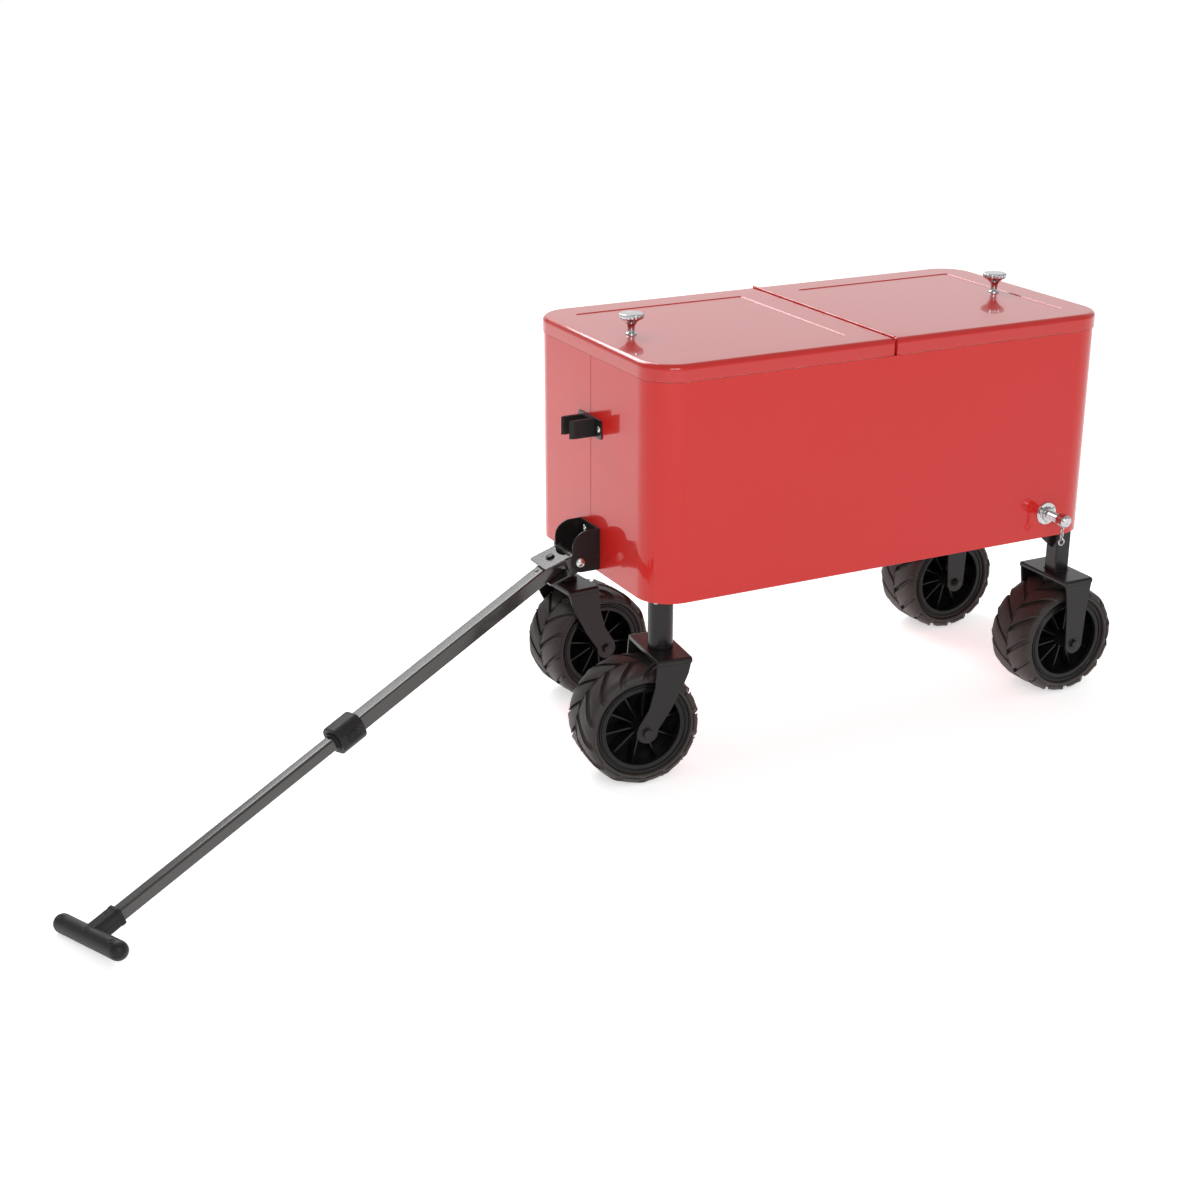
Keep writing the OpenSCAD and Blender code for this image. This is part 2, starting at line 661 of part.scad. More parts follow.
// ---- wheels, turned about +Y through their own centre ----
module rim() color([0.1, 0.1, 0.1]) rotate([90, 0, 0]) difference() {
    union() {
        rotate_extrude($fn = 96) polygon([
            [hub_r - 2, -2], [rim_r - 4, -2], [rim_r - 4, -rim_half + 3], [rim_ring_r, -rim_half + 3],
            [rim_ring_r, -rim_half], [rim_r, -rim_half], [rim_r, rim_half], [rim_ring_r, rim_half],
            [rim_ring_r, rim_half - 3], [rim_r - 4, rim_half - 3], [rim_r - 4, 2], [hub_r - 2, 2]]);
        translate([0, 0, -hub_half]) cylinder(r = hub_r, h = 2 * hub_half);
        for (i = [0:rib_count - 1]) rotate([0, 0, i * 360 / rib_count])
            block(hub_r - 2, rim_r - 3, -1.5, 1.5, -28, 28);
    }
    translate([0, 0, -hub_half - over]) cylinder(r = axle_r + bore_play, h = 2 * hub_half + 2 * over);
}

module tyre() color([0.25, 0.23, 0.22]) rotate([90, 0, 0]) {
    half = tyre_w / 2;
    shoulder = 13;
    profile = concat(
        [[rim_r, -half + 4], [rim_r + 2, -half]],
        arc(wheel_r - shoulder, -half + shoulder, shoulder, 270, 360, 6),
        arc(wheel_r - shoulder, half - shoulder, shoulder, 0, 90, 6),
        [[rim_r + 2, half], [rim_r, half - 4]]);
    rotate_extrude($fn = 96) polygon(profile);
}

module at_front_wheel(s) at_caster(s) translate([-caster_trail, 0, axle_z]) children();
module at_rear_wheel(s) translate([rear_x, s * leg_y, axle_z]) children();

module rim_front_near() at_front_wheel(-1) rim();
module rim_front_far() at_front_wheel(1) rim();
module rim_rear_near() at_rear_wheel(-1) rim();
module rim_rear_far() at_rear_wheel(1) rim();
module tyre_front_near() at_front_wheel(-1) tyre();
module tyre_front_far() at_front_wheel(1) tyre();
module tyre_rear_near() at_rear_wheel(-1) tyre();
module tyre_rear_far() at_rear_wheel(1) tyre();

// ---- handle; in its own frame +X runs to the grip and +Z is the yoke's normal ----
module at_yoke() translate([pivot_x, 0, pivot_z]) rotate([0, pitch_rest, 180]) children();
module at_handle() at_yoke() translate([yaw_off, 0, 0]) rotate([0, 0, yaw_rest]) children();

module yoke() color([0.3, 0.3, 0.3]) at_yoke() difference() {
    union() {
        rod_y(9, -yoke_half, yoke_half);
        for (y = [-yoke_half, yoke_half - bracket_t])
            block(0, yoke_back + 10, y, y + bracket_t, -yoke_top, yoke_top);
        for (z = [-yoke_top, yoke_gap])
            block(yoke_back, yoke_back + yoke_len, -yoke_half, yoke_half, z, z + yoke_plate_t);
    }
    translate([yoke_back - 26, 0, -yoke_top - over]) cylinder(r = 34, h = yoke_top - yoke_gap + 2 * over);
    translate([yoke_back - 26, 0, yoke_gap - over]) cylinder(r = 34, h = yoke_top - yoke_gap + 2 * over);
    rod_y(pivot_r + bore_play, -bracket_w, bracket_w);
    translate([yaw_off, 0, -yoke_top - over]) cylinder(r = yaw_r + hole_play, h = 2 * yoke_top + 2 * over);
}

module yaw_bolt() color("black") at_yoke() translate([yaw_off, 0, 0]) {
    translate([0, 0, -yoke_top - 8]) cylinder(r = yaw_r, h = 2 * yoke_top + 8);
    translate([0, 0, yoke_top]) cylinder(r = 7, h = 4);
    translate([0, 0, -yoke_top - 6]) cylinder(r = 7, h = 6);
}

// Square bar or tube along +X
module square_tube(w, wall, x0, x1) difference() {
    block(x0, x1, -w / 2, w / 2, -w / 2, w / 2);
    block(x0 - over, x1 + over, -w / 2 + wall, w / 2 - wall, -w / 2 + wall, w / 2 - wall);
}

module outer_tube() color([0.15, 0.15, 0.15]) at_handle() difference() {
    square_tube(outer_w, outer_wall, -12, outer_end);
    translate([0, 0, -outer_w]) cylinder(r = yaw_r + bore_play, h = 2 * outer_w);
}

module collar_section(cut, x0, x1) {
    half = collar_w / 2;
    outline = [
        [half, -half + cut], [half, half - cut], [half - cut, half], [-half + cut, half],
        [-half, half - cut], [-half, -half + cut], [-half + cut, -half], [half - cut, -half]
    ];
    translate([x0, 0, 0]) rotate([90, 0, 90]) linear_extrude(x1 - x0) polygon(outline);
}

module button_shape(grow, y0, y1) {
    half = collar_len / 4 + grow;
    r = 8 + grow;
    outline = concat(arc(half - 8, 0, r, -90, 90, 12), arc(-half + 8, 0, r, 90, 270, 12));
    translate([collar_at, y1, 0]) rotate([90, 0, 0]) linear_extrude(y1 - y0) polygon(outline);
}

module collar() color("black") at_handle() difference() {
    collar_section(10, collar_at - collar_len / 2, collar_at + collar_len / 2);
    block(collar_at - collar_len, outer_end, -outer_w / 2, outer_w / 2, -outer_w / 2, outer_w / 2);
    block(outer_end - over, collar_at + collar_len, -inner_w / 2 - play, inner_w / 2 + play,
          -inner_w / 2 - play, inner_w / 2 + play);
    button_shape(play, outer_w / 2 + 1.5, collar_w);
}

module collar_button() color([0.2, 0.2, 0.2]) at_handle()
    button_shape(0, outer_w / 2 + 5, collar_w / 2 + 1.5);

module inner_tube() color([0.15, 0.15, 0.15]) at_handle()
    square_tube(inner_w, inner_wall, inner_start, handle_len);

module grip_screw_spots() {
    for (p = [[0, -grip_len / 2 + 21], [0, grip_len / 2 - 21], [-stem_len * 0.75 - grip_r * 0.5, 0]])
        translate([handle_len + p[0], p[1], 0]) children();
}

// Whole grip: a bar with round ends across the tube and a square stem over it
module grip_solid() {
    end = grip_len / 2 - grip_r;
    profile = concat(
        [[0, -grip_len / 2]], arc(0, -end, grip_r, -80, 0, 8), arc(0, end, grip_r, 0, 80, 8),
        [[0, grip_len / 2]]);
    half = stem_half;
    outline = [
        [half - 4, -half], [half, -half + 4], [half, half - 4], [half - 4, half],
        [-half + 4, half], [-half, half - 4], [-half, -half + 4], [-half + 4, -half]
    ];
    translate([handle_len, 0, 0]) difference() {
        union() {
            rotate([-90, 0, 0]) rotate_extrude() polygon(profile);
            translate([-grip_r - stem_len, 0, 0]) rotate([90, 0, 90]) linear_extrude(stem_len + grip_r / 2)
                polygon(outline * 0.86);
        }
        block(-grip_r - stem_len - over, 0, -inner_w / 2, inner_w / 2, -inner_w / 2, inner_w / 2);
    }
}

module grip_half(s) at_handle() difference() {
    grip_solid();
    block(handle_len - 3 * stem_len, handle_len + 2 * grip_r, -grip_len, grip_len,
          s > 0 ? -2 * stem_half : 0, s > 0 ? 0 : 2 * stem_half);
    if (s > 0) grip_screw_spots() translate([0, 0, screw_z]) cylinder(r = 3.2, h = 10);
}

module grip_upper() color("black") grip_half(1);
module grip_lower() color([0.1, 0.1, 0.1]) grip_half(-1);
module grip_screws() color("dimgray") at_handle()
    grip_screw_spots() translate([0, 0, screw_z]) cylinder(r = 2.9, h = 1.8);

// ---- drain ----
module drain_spout() color("silver") translate([drain_x, 0, drain_z]) difference() {
    union() {
        rod_y(drain_r, -half_w - drain_out, -tub_w + tub_wall + 6);
        rod_y(drain_flange_r, -half_w - 3, -half_w);
        rod_y(drain_r + 2.5, -tub_w + tub_wall, -tub_w + tub_wall + 4);
    }
    rod_y(drain_r - 2.5, -half_w - drain_out - over, -tub_w + tub_wall + 6 + over);
    for (a = [90, 210, 330]) rotate([0, a, 0]) translate([drain_flange_r - 5, 0, 0])
        rod_y(1.7 + hole_play, -half_w - 3 - over, -half_w + over);
}

module drain_screws() color("silver") translate([drain_x, 0, drain_z])
    for (a = [90, 210, 330]) rotate([0, a, 0]) translate([drain_flange_r - 5, 0, 0]) {
        rod_y(1.7, -half_w - 3 - eps, -half_w);
        rod_y(3, -half_w - 5, -half_w - 3);
    }

module drain_cap() color("silver") translate([drain_x, -half_w - drain_out, drain_z]) difference() {
    union() {
        rod_y(cap_r, -4, cap_len - 4);
        rod_y(cap_r - 3, -7, -4 + eps);
        translate([0, 4, eyelet_z - drain_z]) rotate([90, 0, 90]) ring_link(eyelet_r, link_wire + 0.1);
    }
    rod_y(drain_r + play, -0.5, cap_len);
}

module ring_link(r, wire) rotate_extrude($fn = 32) translate([r, 0]) circle(r = wire, $fn = 16);

module drain_chain() color("silver")
    translate([drain_x, -half_w - drain_out + 4, eyelet_z - eyelet_r - link_r + link_pitch_gap]) {
        for (i = [0:link_count - 1]) translate([0, 0, -i * link_pitch])
            rotate([90, 0, i % 2 == 0 ? 0 : 90]) ring_link(link_r, link_wire);
        translate([0, 0, -(link_count - 1) * link_pitch - link_r - end_ring_r + link_pitch_gap])
            rotate([90, 0, 0]) ring_link(end_ring_r, link_wire + 0.1);
    }

body_shell();
bottom_pan();
foam_insulation();
inner_tub();
tub_floor();
center_rail();
hinge_pin();
clip_plate();
handle_clip();
handle_bracket();
wall_screws();
pivot_bolt();
front_leg_near();
front_leg_far();
rear_leg_near();
rear_leg_far();
leg_bolts();
caster_bushes();
rear_fork_near();
rear_fork_far();
rear_axles();
drain_spout();
drain_screws();
drain_cap();
drain_chain();
left_lid_skin();
left_lid_foam();
left_lid_liner();
left_lid_gasket();
left_lid_knob();
left_hinge_leaf();
right_lid_skin();
right_lid_foam();
right_lid_liner();
right_lid_gasket();
right_lid_knob();
right_hinge_leaf();
yoke();
yaw_bolt();
outer_tube();
collar();
collar_button();
inner_tube();
grip_upper();
grip_lower();
grip_screws();
caster_fork_near();
caster_stem_near();
caster_axle_near();
caster_fork_far();
caster_stem_far();
caster_axle_far();
rim_front_near();
tyre_front_near();
rim_front_far();
tyre_front_far();
rim_rear_near();
tyre_rear_near();
rim_rear_far();
tyre_rear_far();
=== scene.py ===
"""Insulated steel patio cooler on a four-wheeled pull cart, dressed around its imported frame.

Lengths are in metres. The body's underside is centred on the origin, +X runs away from the
handle, -Y is the side with the drain and +Z is up.
"""

import logging
import math
from collections.abc import Callable, Sequence
from dataclasses import dataclass, field
from enum import Enum

import bmesh
import bpy
from mathutils import Matrix, Vector

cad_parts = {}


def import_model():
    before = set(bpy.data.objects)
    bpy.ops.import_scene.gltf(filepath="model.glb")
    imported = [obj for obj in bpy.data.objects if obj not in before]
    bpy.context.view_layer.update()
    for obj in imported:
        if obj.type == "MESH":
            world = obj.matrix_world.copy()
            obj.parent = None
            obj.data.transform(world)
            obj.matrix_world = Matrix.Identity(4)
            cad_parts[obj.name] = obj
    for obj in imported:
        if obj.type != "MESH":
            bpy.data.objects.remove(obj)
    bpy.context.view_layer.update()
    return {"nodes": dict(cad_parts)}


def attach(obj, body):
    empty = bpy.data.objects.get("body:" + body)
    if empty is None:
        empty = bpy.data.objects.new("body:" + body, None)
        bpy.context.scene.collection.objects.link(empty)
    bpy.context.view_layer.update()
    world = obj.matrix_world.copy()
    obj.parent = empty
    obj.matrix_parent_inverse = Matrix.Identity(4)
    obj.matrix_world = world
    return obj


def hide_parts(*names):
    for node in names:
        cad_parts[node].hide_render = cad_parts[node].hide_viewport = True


LOG = logging.getLogger("cooler_cart")
Vec = tuple[float, float, float]
Point = tuple[float, float]
MM = 0.001


class Side(Enum):
    """The two long sides of the cart."""

    NEAR = -1
    FAR = 1


class Tread(Enum):
    """Which way a tyre's chevrons point on the face that looks towards the handle."""

    UP = 1
    DOWN = -1


# ---- small geometry helpers ----
def move(x: float = 0.0, y: float = 0.0, z: float = 0.0) -> Matrix:
    """Return a translation."""
    return Matrix.Translation((x, y, z))


def turn(degrees: float, axis: str) -> Matrix:
    """Return a rotation by degrees about the axis X, Y or Z."""
    return Matrix.Rotation(math.radians(degrees), 4, axis)


def arc(cx: float, cy: float, radius: float, start: float, end: float, steps: int) -> list[Point]:
    """Return points on an arc.

    Args:
        cx: Centre, first coordinate.
        cy: Centre, second coordinate.
        radius: Radius of the arc.
        start: First angle in degrees.
        end: Last angle in degrees.
        steps: Number of chords.

    Returns:
        steps + 1 points.
    """
    angles = [math.radians(start + (end - start) * i / steps) for i in range(steps + 1)]
    return [(cx + radius * math.cos(a), cy + radius * math.sin(a)) for a in angles]


def along(path: Sequence[Point], t: float) -> Point:
    """Return the point at fraction t of a path's point list, straight between its points."""
    place = min(max(t, 0.0), 1.0) * (len(path) - 1)
    i = min(int(place), len(path) - 2)
    k = place - i
    return (path[i][0] * (1 - k) + path[i + 1][0] * k, path[i][1] * (1 - k) + path[i + 1][1] * k)


def both_sides(profile: Sequence[Point]) -> list[Point]:
    """Return a profile of radius and height with its mirror image below."""
    return list(profile) + [(r, -z) for r, z in reversed(profile)]


def runs_along(axis: int, least: float = 0.01) -> Callable[[bmesh.types.BMEdge], bool]:
    """Return a test for edges that run along an axis for more than the least length."""
    return lambda edge: abs(edge.verts[0].co[axis] - edge.verts[1].co[axis]) > least


def only_verts(geom: Sequence[object]) -> list[bmesh.types.BMVert]:
    """Return the vertices among an operator's results."""
    return [item for item in geom if isinstance(item, bmesh.types.BMVert)]


class Shape:
    """A closed shape under construction, in metres."""

    def __init__(self) -> None:
        """Start an empty shape."""
        self.bm = bmesh.new()

    @staticmethod
    def box(low: Vec, high: Vec) -> "Shape":
        """Return a box between two corners."""
        shape = Shape()
        size = [b - a for a, b in zip(low, high)]
        middle = [(a + b) / 2 for a, b in zip(low, high)]
        matrix = Matrix.Translation(middle) @ Matrix.Diagonal((*size, 1.0))
        bmesh.ops.create_cube(shape.bm, size=1.0, matrix=matrix)
        return shape

    @staticmethod
    def rod(radius: float, start: float, end: float, steps: int = 32,
            top: float | None = None) -> "Shape":
        """Return a cylinder or cone along Z.

        Args:
            radius: Radius at the start.
            start: Lower height.
            end: Upper height.
            steps: Number of sides.
            top: Radius at the end, the same as at the start if left out.

        Returns:
            The shape.
        """
        shape = Shape()
        bmesh.ops.create_cone(shape.bm, cap_ends=True, segments=steps, radius1=radius,
                              radius2=radius if top is None else top, depth=end - start,
                              matrix=move(z=(start + end) / 2))
        return shape

    @staticmethod
    def lathe(profile: Sequence[Point], steps: int = 64, closed: bool = False) -> "Shape":
        """Return a profile of radius and height spun about Z.

        Args:
            profile: Points of radius and height.
            steps: Number of sides.
            closed: Whether the last point joins the first, as on a ring.

        Returns:
            The shape.
        """
        shape = Shape()
        verts = [shape.bm.verts.new((r, 0.0, z)) for r, z in profile]
        pairs = list(zip(verts, verts[1:])) + ([(verts[-1], verts[0])] if closed else [])
        edges = [shape.bm.edges.new(pair) for pair in pairs]
        bmesh.ops.spin(shape.bm, geom=verts + edges, cent=(0, 0, 0), axis=(0, 0, 1),
                       angle=2 * math.pi, steps=steps, use_merge=True)
        return shape.clean()

    @staticmethod
    def prism(outline: Sequence[Point], low: float, high: float) -> "Shape":
        """Return an outline in XY raised from one height to another."""
        shape = Shape()
        face = shape.bm.faces.new([shape.bm.verts.new((x, y, low)) for x, y in outline])
        top = only_verts(bmesh.ops.extrude_face_region(shape.bm, geom=[face])["geom"])
        bmesh.ops.translate(shape.bm, verts=top, vec=(0, 0, high - low))
        return shape.clean()

    @staticmethod
    def loft(loops: Sequence[Sequence[Vec]]) -> "Shape":
        """Return the closed ring of walls that joins each loop to the next and the last to the first."""
        shape = Shape()
        rows = [[shape.bm.verts.new(p) for p in loop] for loop in loops]
        for row, after in zip(rows, rows[1:] + rows[:1]):
            for i, (a, b) in enumerate(zip(row, after)):
                j = (i + 1) % len(row)
                shape.bm.faces.new((a, row[j], after[j], b))
        return shape.clean()

    @staticmethod
    def ring(radius: float, wire: float, steps: int = 32, sides: int = 10) -> "Shape":
        """Return a round ring about Z."""
        return Shape.lathe([(radius + x, z) for x, z in arc(0, 0, wire, 0, 360, sides)[:-1]],
                           steps, closed=True)

    def clean(self) -> "Shape":
        """Merge doubled points, turn the faces outwards and return the shape."""
        bmesh.ops.remove_doubles(self.bm, verts=self.bm.verts, dist=1e-6)
        bmesh.ops.recalc_face_normals(self.bm, faces=self.bm.faces)
        return self

    def place(self, matrix: Matrix) -> "Shape":
        """Move or turn the shape and return it."""
        bmesh.ops.transform(self.bm, matrix=matrix, verts=self.bm.verts)
        return self

    def bevel(self, width: float, segments: int = 2, angle: float = 30.0,
              where: Callable[[bmesh.types.BMEdge], bool] | None = None) -> "Shape":
        """Round the sharp edges.

        Args:
            width: Width of the rounding.
            segments: Number of facets in it.
            angle: Only edges sharper than this are rounded, in degrees.
            where: Further test that an edge has to pass.

        Returns:
            The shape.
        """
        edges = [e for e in self.bm.edges
                 if e.calc_face_angle(0.0) > math.radians(angle) and (where is None or where(e))]
        bmesh.ops.bevel(self.bm, geom=edges, offset=width, segments=segments, profile=0.5,
                        affect="EDGES", material=-1, clamp_overlap=True)
        return self

    def join(self, *others: "Shape") -> "Shape":
        """Add other shapes to this one and return it."""
        for other in others:
            mesh = bpy.data.meshes.new("part")
            other.bm.to_mesh(mesh)
            self.bm.from_mesh(mesh)
            bpy.data.meshes.remove(mesh)
            other.bm.free()
        return self

    def repeat(self, count: int, start: float = 0.0) -> "Shape":
        """Turn the shape by start degrees and copy it so that count copies stand round Z."""
        self.place(turn(start, "Z"))
        bmesh.ops.spin(self.bm, geom=self.bm.verts[:] + self.bm.edges[:] + self.bm.faces[:],
                       cent=(0, 0, 0), axis=(0, 0, 1), angle=2 * math.pi * (count - 1) / count,
                       steps=count - 1, use_duplicate=True)
        return self

    def cut(self, height: float, above: bool) -> "Shape":
        """Cut the shape level, close the cut and return the shape.

        Args:
            height: Height of the cut.
            above: Whether the part above the cut is dropped.

        Returns:
            The shape.
        """
        geom = self.bm.verts[:] + self.bm.edges[:] + self.bm.faces[:]
        bmesh.ops.bisect_plane(self.bm, geom=geom, plane_co=(0, 0, height),
                               plane_no=(0, 0, 1 if above else -1), clear_outer=True)
        bmesh.ops.edgenet_fill(self.bm, edges=[e for e in self.bm.edges if e.is_boundary])
        return self

    def copy(self) -> "Shape":
        """Return a copy of the shape."""
        twin = Shape()
        twin.bm.free()
        twin.bm = self.bm.copy()
        return twin

    def mirrored(self, axis: int) -> "Shape":
        """Return a mirrored copy across the plane through the origin."""
        scale = [1.0, 1.0, 1.0, 1.0]
        scale[axis] = -1.0
        twin = self.copy().place(Matrix.Diagonal(scale))
        bmesh.ops.recalc_face_normals(twin.bm, faces=twin.bm.faces)
        return twin

    def shell(self, thickness: float) -> "Shape":
        """Give an open sheet a wall on its inner side and return it."""
        bmesh.ops.recalc_face_normals(self.bm, faces=self.bm.faces)
        bmesh.ops.solidify(self.bm, geom=self.bm.faces[:], thickness=thickness)
        return self

    def piece(self, name: str, finish: "Finish", body: str, *nodes: str,
              smooth: float = 38.0) -> bpy.types.Object:
        """Turn the shape into a finished piece of the cart.

        Args:
            name: Name of the piece.
            finish: Its finish.
            body: CAD body that it moves with.
            *nodes: CAD nodes that it stands for.
            smooth: Edges sharper than this stay sharp, in degrees.

        Returns:
            The object.
        """
        mesh = bpy.data.meshes.new(name)
        self.clean()
        self.bm.to_mesh(mesh)
        self.bm.free()
        mesh.shade_smooth()
        mesh.set_sharp_from_angle(angle=math.radians(smooth))
        mesh.materials.append(finish.material())
        made = bpy.data.objects.new(name, mesh)
        bpy.context.scene.collection.objects.link(made)
        evened = made.modifiers.new("even_normals", "WEIGHTED_NORMAL")
        evened.keep_sharp = True
        graph = bpy.context.evaluated_depsgraph_get()
        final = bpy.data.meshes.new_from_object(made.evaluated_get(graph))
        made.modifiers.clear()
        made.data = final
        final.name = name
        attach(made, body)
        if nodes:
            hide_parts(*nodes)
        LOG.info("%s: %d faces on %s", name, len(final.polygons), body)
        return made


# ---- finishes ----
class Effects:
    """Shader node groups that several finishes share."""

    _made: dict[str, bpy.types.NodeTree] = {}

    @classmethod
    def _group(cls, name: str, inputs: dict[str, float], output: str) -> tuple[bpy.types.NodeTree,
                                                                               bool]:
        """Return the named group and whether it still has to be filled."""
        if name in cls._made:
            return cls._made[name], False
        tree = bpy.data.node_groups.new(name, "ShaderNodeTree")
        for label, value in inputs.items():
            socket = tree.interface.new_socket(label, in_out="INPUT", socket_type="NodeSocketFloat")
            socket.default_value = value
        tree.interface.new_socket(output, in_out="OUTPUT", socket_type="NodeSocketFloat")
        cls._made[name] = tree
        return tree, True

    @classmethod
    def grain(cls) -> bpy.types.NodeTree:
        """Return the group that puts out the height of a fine, slightly lumpy skin."""
        tree, empty = cls._group("skin_grain", {"Scale": 900.0, "Lumps": 0.3}, "Height")
        if empty:
            put, link = tree.nodes.new, tree.links.new
            inside, outside = put("NodeGroupInput"), put("NodeGroupOutput")
            where = put("ShaderNodeTexCoord")
            fine, coarse = put("ShaderNodeTexNoise"), put("ShaderNodeTexNoise")
            fine.inputs["Detail"].default_value = 2.0
            coarse.inputs["Detail"].default_value = 3.0
            fifth, mixed = put("ShaderNodeMath"), put("ShaderNodeMix")
            fifth.operation = "MULTIPLY"
            fifth.inputs[1].default_value = 0.2
            link(where.outputs["Object"], fine.inputs["Vector"])
            link(where.outputs["Object"], coarse.inputs["Vector"])
            link(inside.outputs["Scale"], fine.inputs["Scale"])
            link(inside.outputs["Scale"], fifth.inputs[0])
            link(fifth.outputs[0], coarse.inputs["Scale"])
            link(inside.outputs["Lumps"], mixed.inputs["Factor"])
            link(fine.outputs["Fac"], mixed.inputs["A"])
            link(coarse.outputs["Fac"], mixed.inputs["B"])
            link(mixed.outputs["Result"], outside.inputs["Height"])
        return tree

    @classmethod
    def blotches(cls) -> bpy.types.NodeTree:
        """Return the group that puts out a soft mask of blotches and faint wipe marks."""
        tree, empty = cls._group("soft_blotches", {"Scale": 12.0, "Contrast": 0.5}, "Mask")
        if empty:
            put, link = tree.nodes.new, tree.links.new
            inside, outside = put("NodeGroupInput"), put("NodeGroupOutput")
            where, noise, span = (put(f"ShaderNode{kind}") for kind in ("TexCoord", "TexNoise", "MapRange"))
            noise.inputs["Detail"].default_value = 5.0
            noise.inputs["Distortion"].default_value = 0.6
            half = put("ShaderNodeMath")
            half.operation = "SUBTRACT"
            half.inputs[0].default_value = 0.75
            link(where.outputs["Object"], noise.inputs["Vector"])
            link(inside.outputs["Scale"], noise.inputs["Scale"])
            link(noise.outputs["Fac"], span.inputs["Value"])
            link(inside.outputs["Contrast"], half.inputs[1])
            span.inputs["From Min"].default_value = 0.3
            link(half.outputs[0], span.inputs["To Max"])
            link(span.outputs["Result"], outside.inputs["Mask"])
        return tree

    @classmethod
    def dust(cls) -> bpy.types.NodeTree:
        """Return the group that puts out a mask of dust that thins out above a height."""
        tree, empty = cls._group("low_dust", {"Top": -0.2, "Fade": 0.12}, "Mask")
        if empty:
            put, link = tree.nodes.new, tree.links.new
            inside, outside = put("NodeGroupInput"), put("NodeGroupOutput")
            where, split = put("ShaderNodeTexCoord"), put("ShaderNodeSeparateXYZ")
            noise = put("ShaderNodeTexNoise")
            noise.inputs["Scale"].default_value = 60.0
            noise.inputs["Detail"].default_value = 6.0
            below, ratio, worn = put("ShaderNodeMath"), put("ShaderNodeMath"), put("ShaderNodeMath")
            below.operation, ratio.operation, worn.operation = "SUBTRACT", "DIVIDE", "MULTIPLY"
            ratio.use_clamp = True
            link(where.outputs["Object"], split.inputs[0])
            link(where.outputs["Object"], noise.inputs["Vector"])
            link(inside.outputs["Top"], below.inputs[0])
            link(split.outputs["Z"], below.inputs[1])
            link(below.outputs[0], ratio.inputs[0])
            link(inside.outputs["Fade"], ratio.inputs[1])
            link(ratio.outputs[0], worn.inputs[0])
            link(noise.outputs["Fac"], worn.inputs[1])
            link(worn.outputs[0], outside.inputs["Mask"])
        return tree


@dataclass(frozen=True)
class Finish:
    """One finish: a colour with blotches, a skin with grain, and its gloss."""

    name: str
    slot: str
    base: Vec
    tint: Vec
    rough: float
    rough_span: float = 0.05
    metallic: float = 0.0
    coat: float = 0.0
    coat_rough: float = 0.04
    specular: float = 0.5
    blotch_scale: float = 12.0
    blotch_contrast: float = 0.5
    grain_scale: float = 900.0
    grain_lumps: float = 0.3
    grain_depth: float = 0.00002
    grain_strength: float = 0.3
    dust: float = 0.0
    dust_color: Vec = (0.16, 0.14, 0.12)

    def material(self) -> bpy.types.Material:
        """Return the finish's material, built the first time it is asked for."""
        found = bpy.data.materials.get(self.name)
        if found:
            return found
        made = bpy.data.materials.new(self.name)
        made.use_nodes = True
        tree = made.node_tree
        put, link = tree.nodes.new, tree.links.new
        shader = tree.nodes["Principled BSDF"]
        shader.inputs["Metallic"].default_value = self.metallic
        shader.inputs["Coat Weight"].default_value = self.coat
        shader.inputs["Coat Roughness"].default_value = self.coat_rough
        shader.inputs["Specular IOR Level"].default_value = self.specular
        blotches, grain = put("ShaderNodeGroup"), put("ShaderNodeGroup")
        blotches.node_tree, grain.node_tree = Effects.blotches(), Effects.grain()
        blotches.inputs["Scale"].default_value = self.blotch_scale
        blotches.inputs["Contrast"].default_value = self.blotch_contrast
        grain.inputs["Scale"].default_value = self.grain_scale
        grain.inputs["Lumps"].default_value = self.grain_lumps
        colour = put("ShaderNodeMix")
        colour.data_type = "RGBA"
        colour.inputs["A"].default_value = (*self.base, 1.0)
        colour.inputs["B"].default_value = (*self.tint, 1.0)
        link(blotches.outputs["Mask"], colour.inputs["Factor"])
        shown = colour.outputs["Result"]
        if self.dust:
            dust, amount, dusty = put("ShaderNodeGroup"), put("ShaderNodeMath"), put("ShaderNodeMix")
            dust.node_tree = Effects.dust()
            amount.operation = "MULTIPLY"
            amount.inputs[1].default_value = self.dust
            dusty.data_type = "RGBA"
            dusty.inputs["B"].default_value = (*self.dust_color, 1.0)
            link(dust.outputs["Mask"], amount.inputs[0])
            link(amount.outputs[0], dusty.inputs["Factor"])
            link(shown, dusty.inputs["A"])
            shown = dusty.outputs["Result"]
        link(shown, shader.inputs["Base Color"])
        span = put("ShaderNodeMapRange")
        span.inputs["To Min"].default_value = self.rough
        span.inputs["To Max"].default_value = self.rough + self.rough_span
        link(blotches.outputs["Mask"], span.inputs["Value"])
        link(span.outputs["Result"], shader.inputs["Roughness"])
        bump = put("ShaderNodeBump")
        bump.inputs["Strength"].default_value = self.grain_strength
        bump.inputs["Distance"].default_value = self.grain_depth
        link(grain.outputs["Height"], bump.inputs["Height"])
        link(bump.outputs["Normal"], shader.inputs["Normal"])
        return made


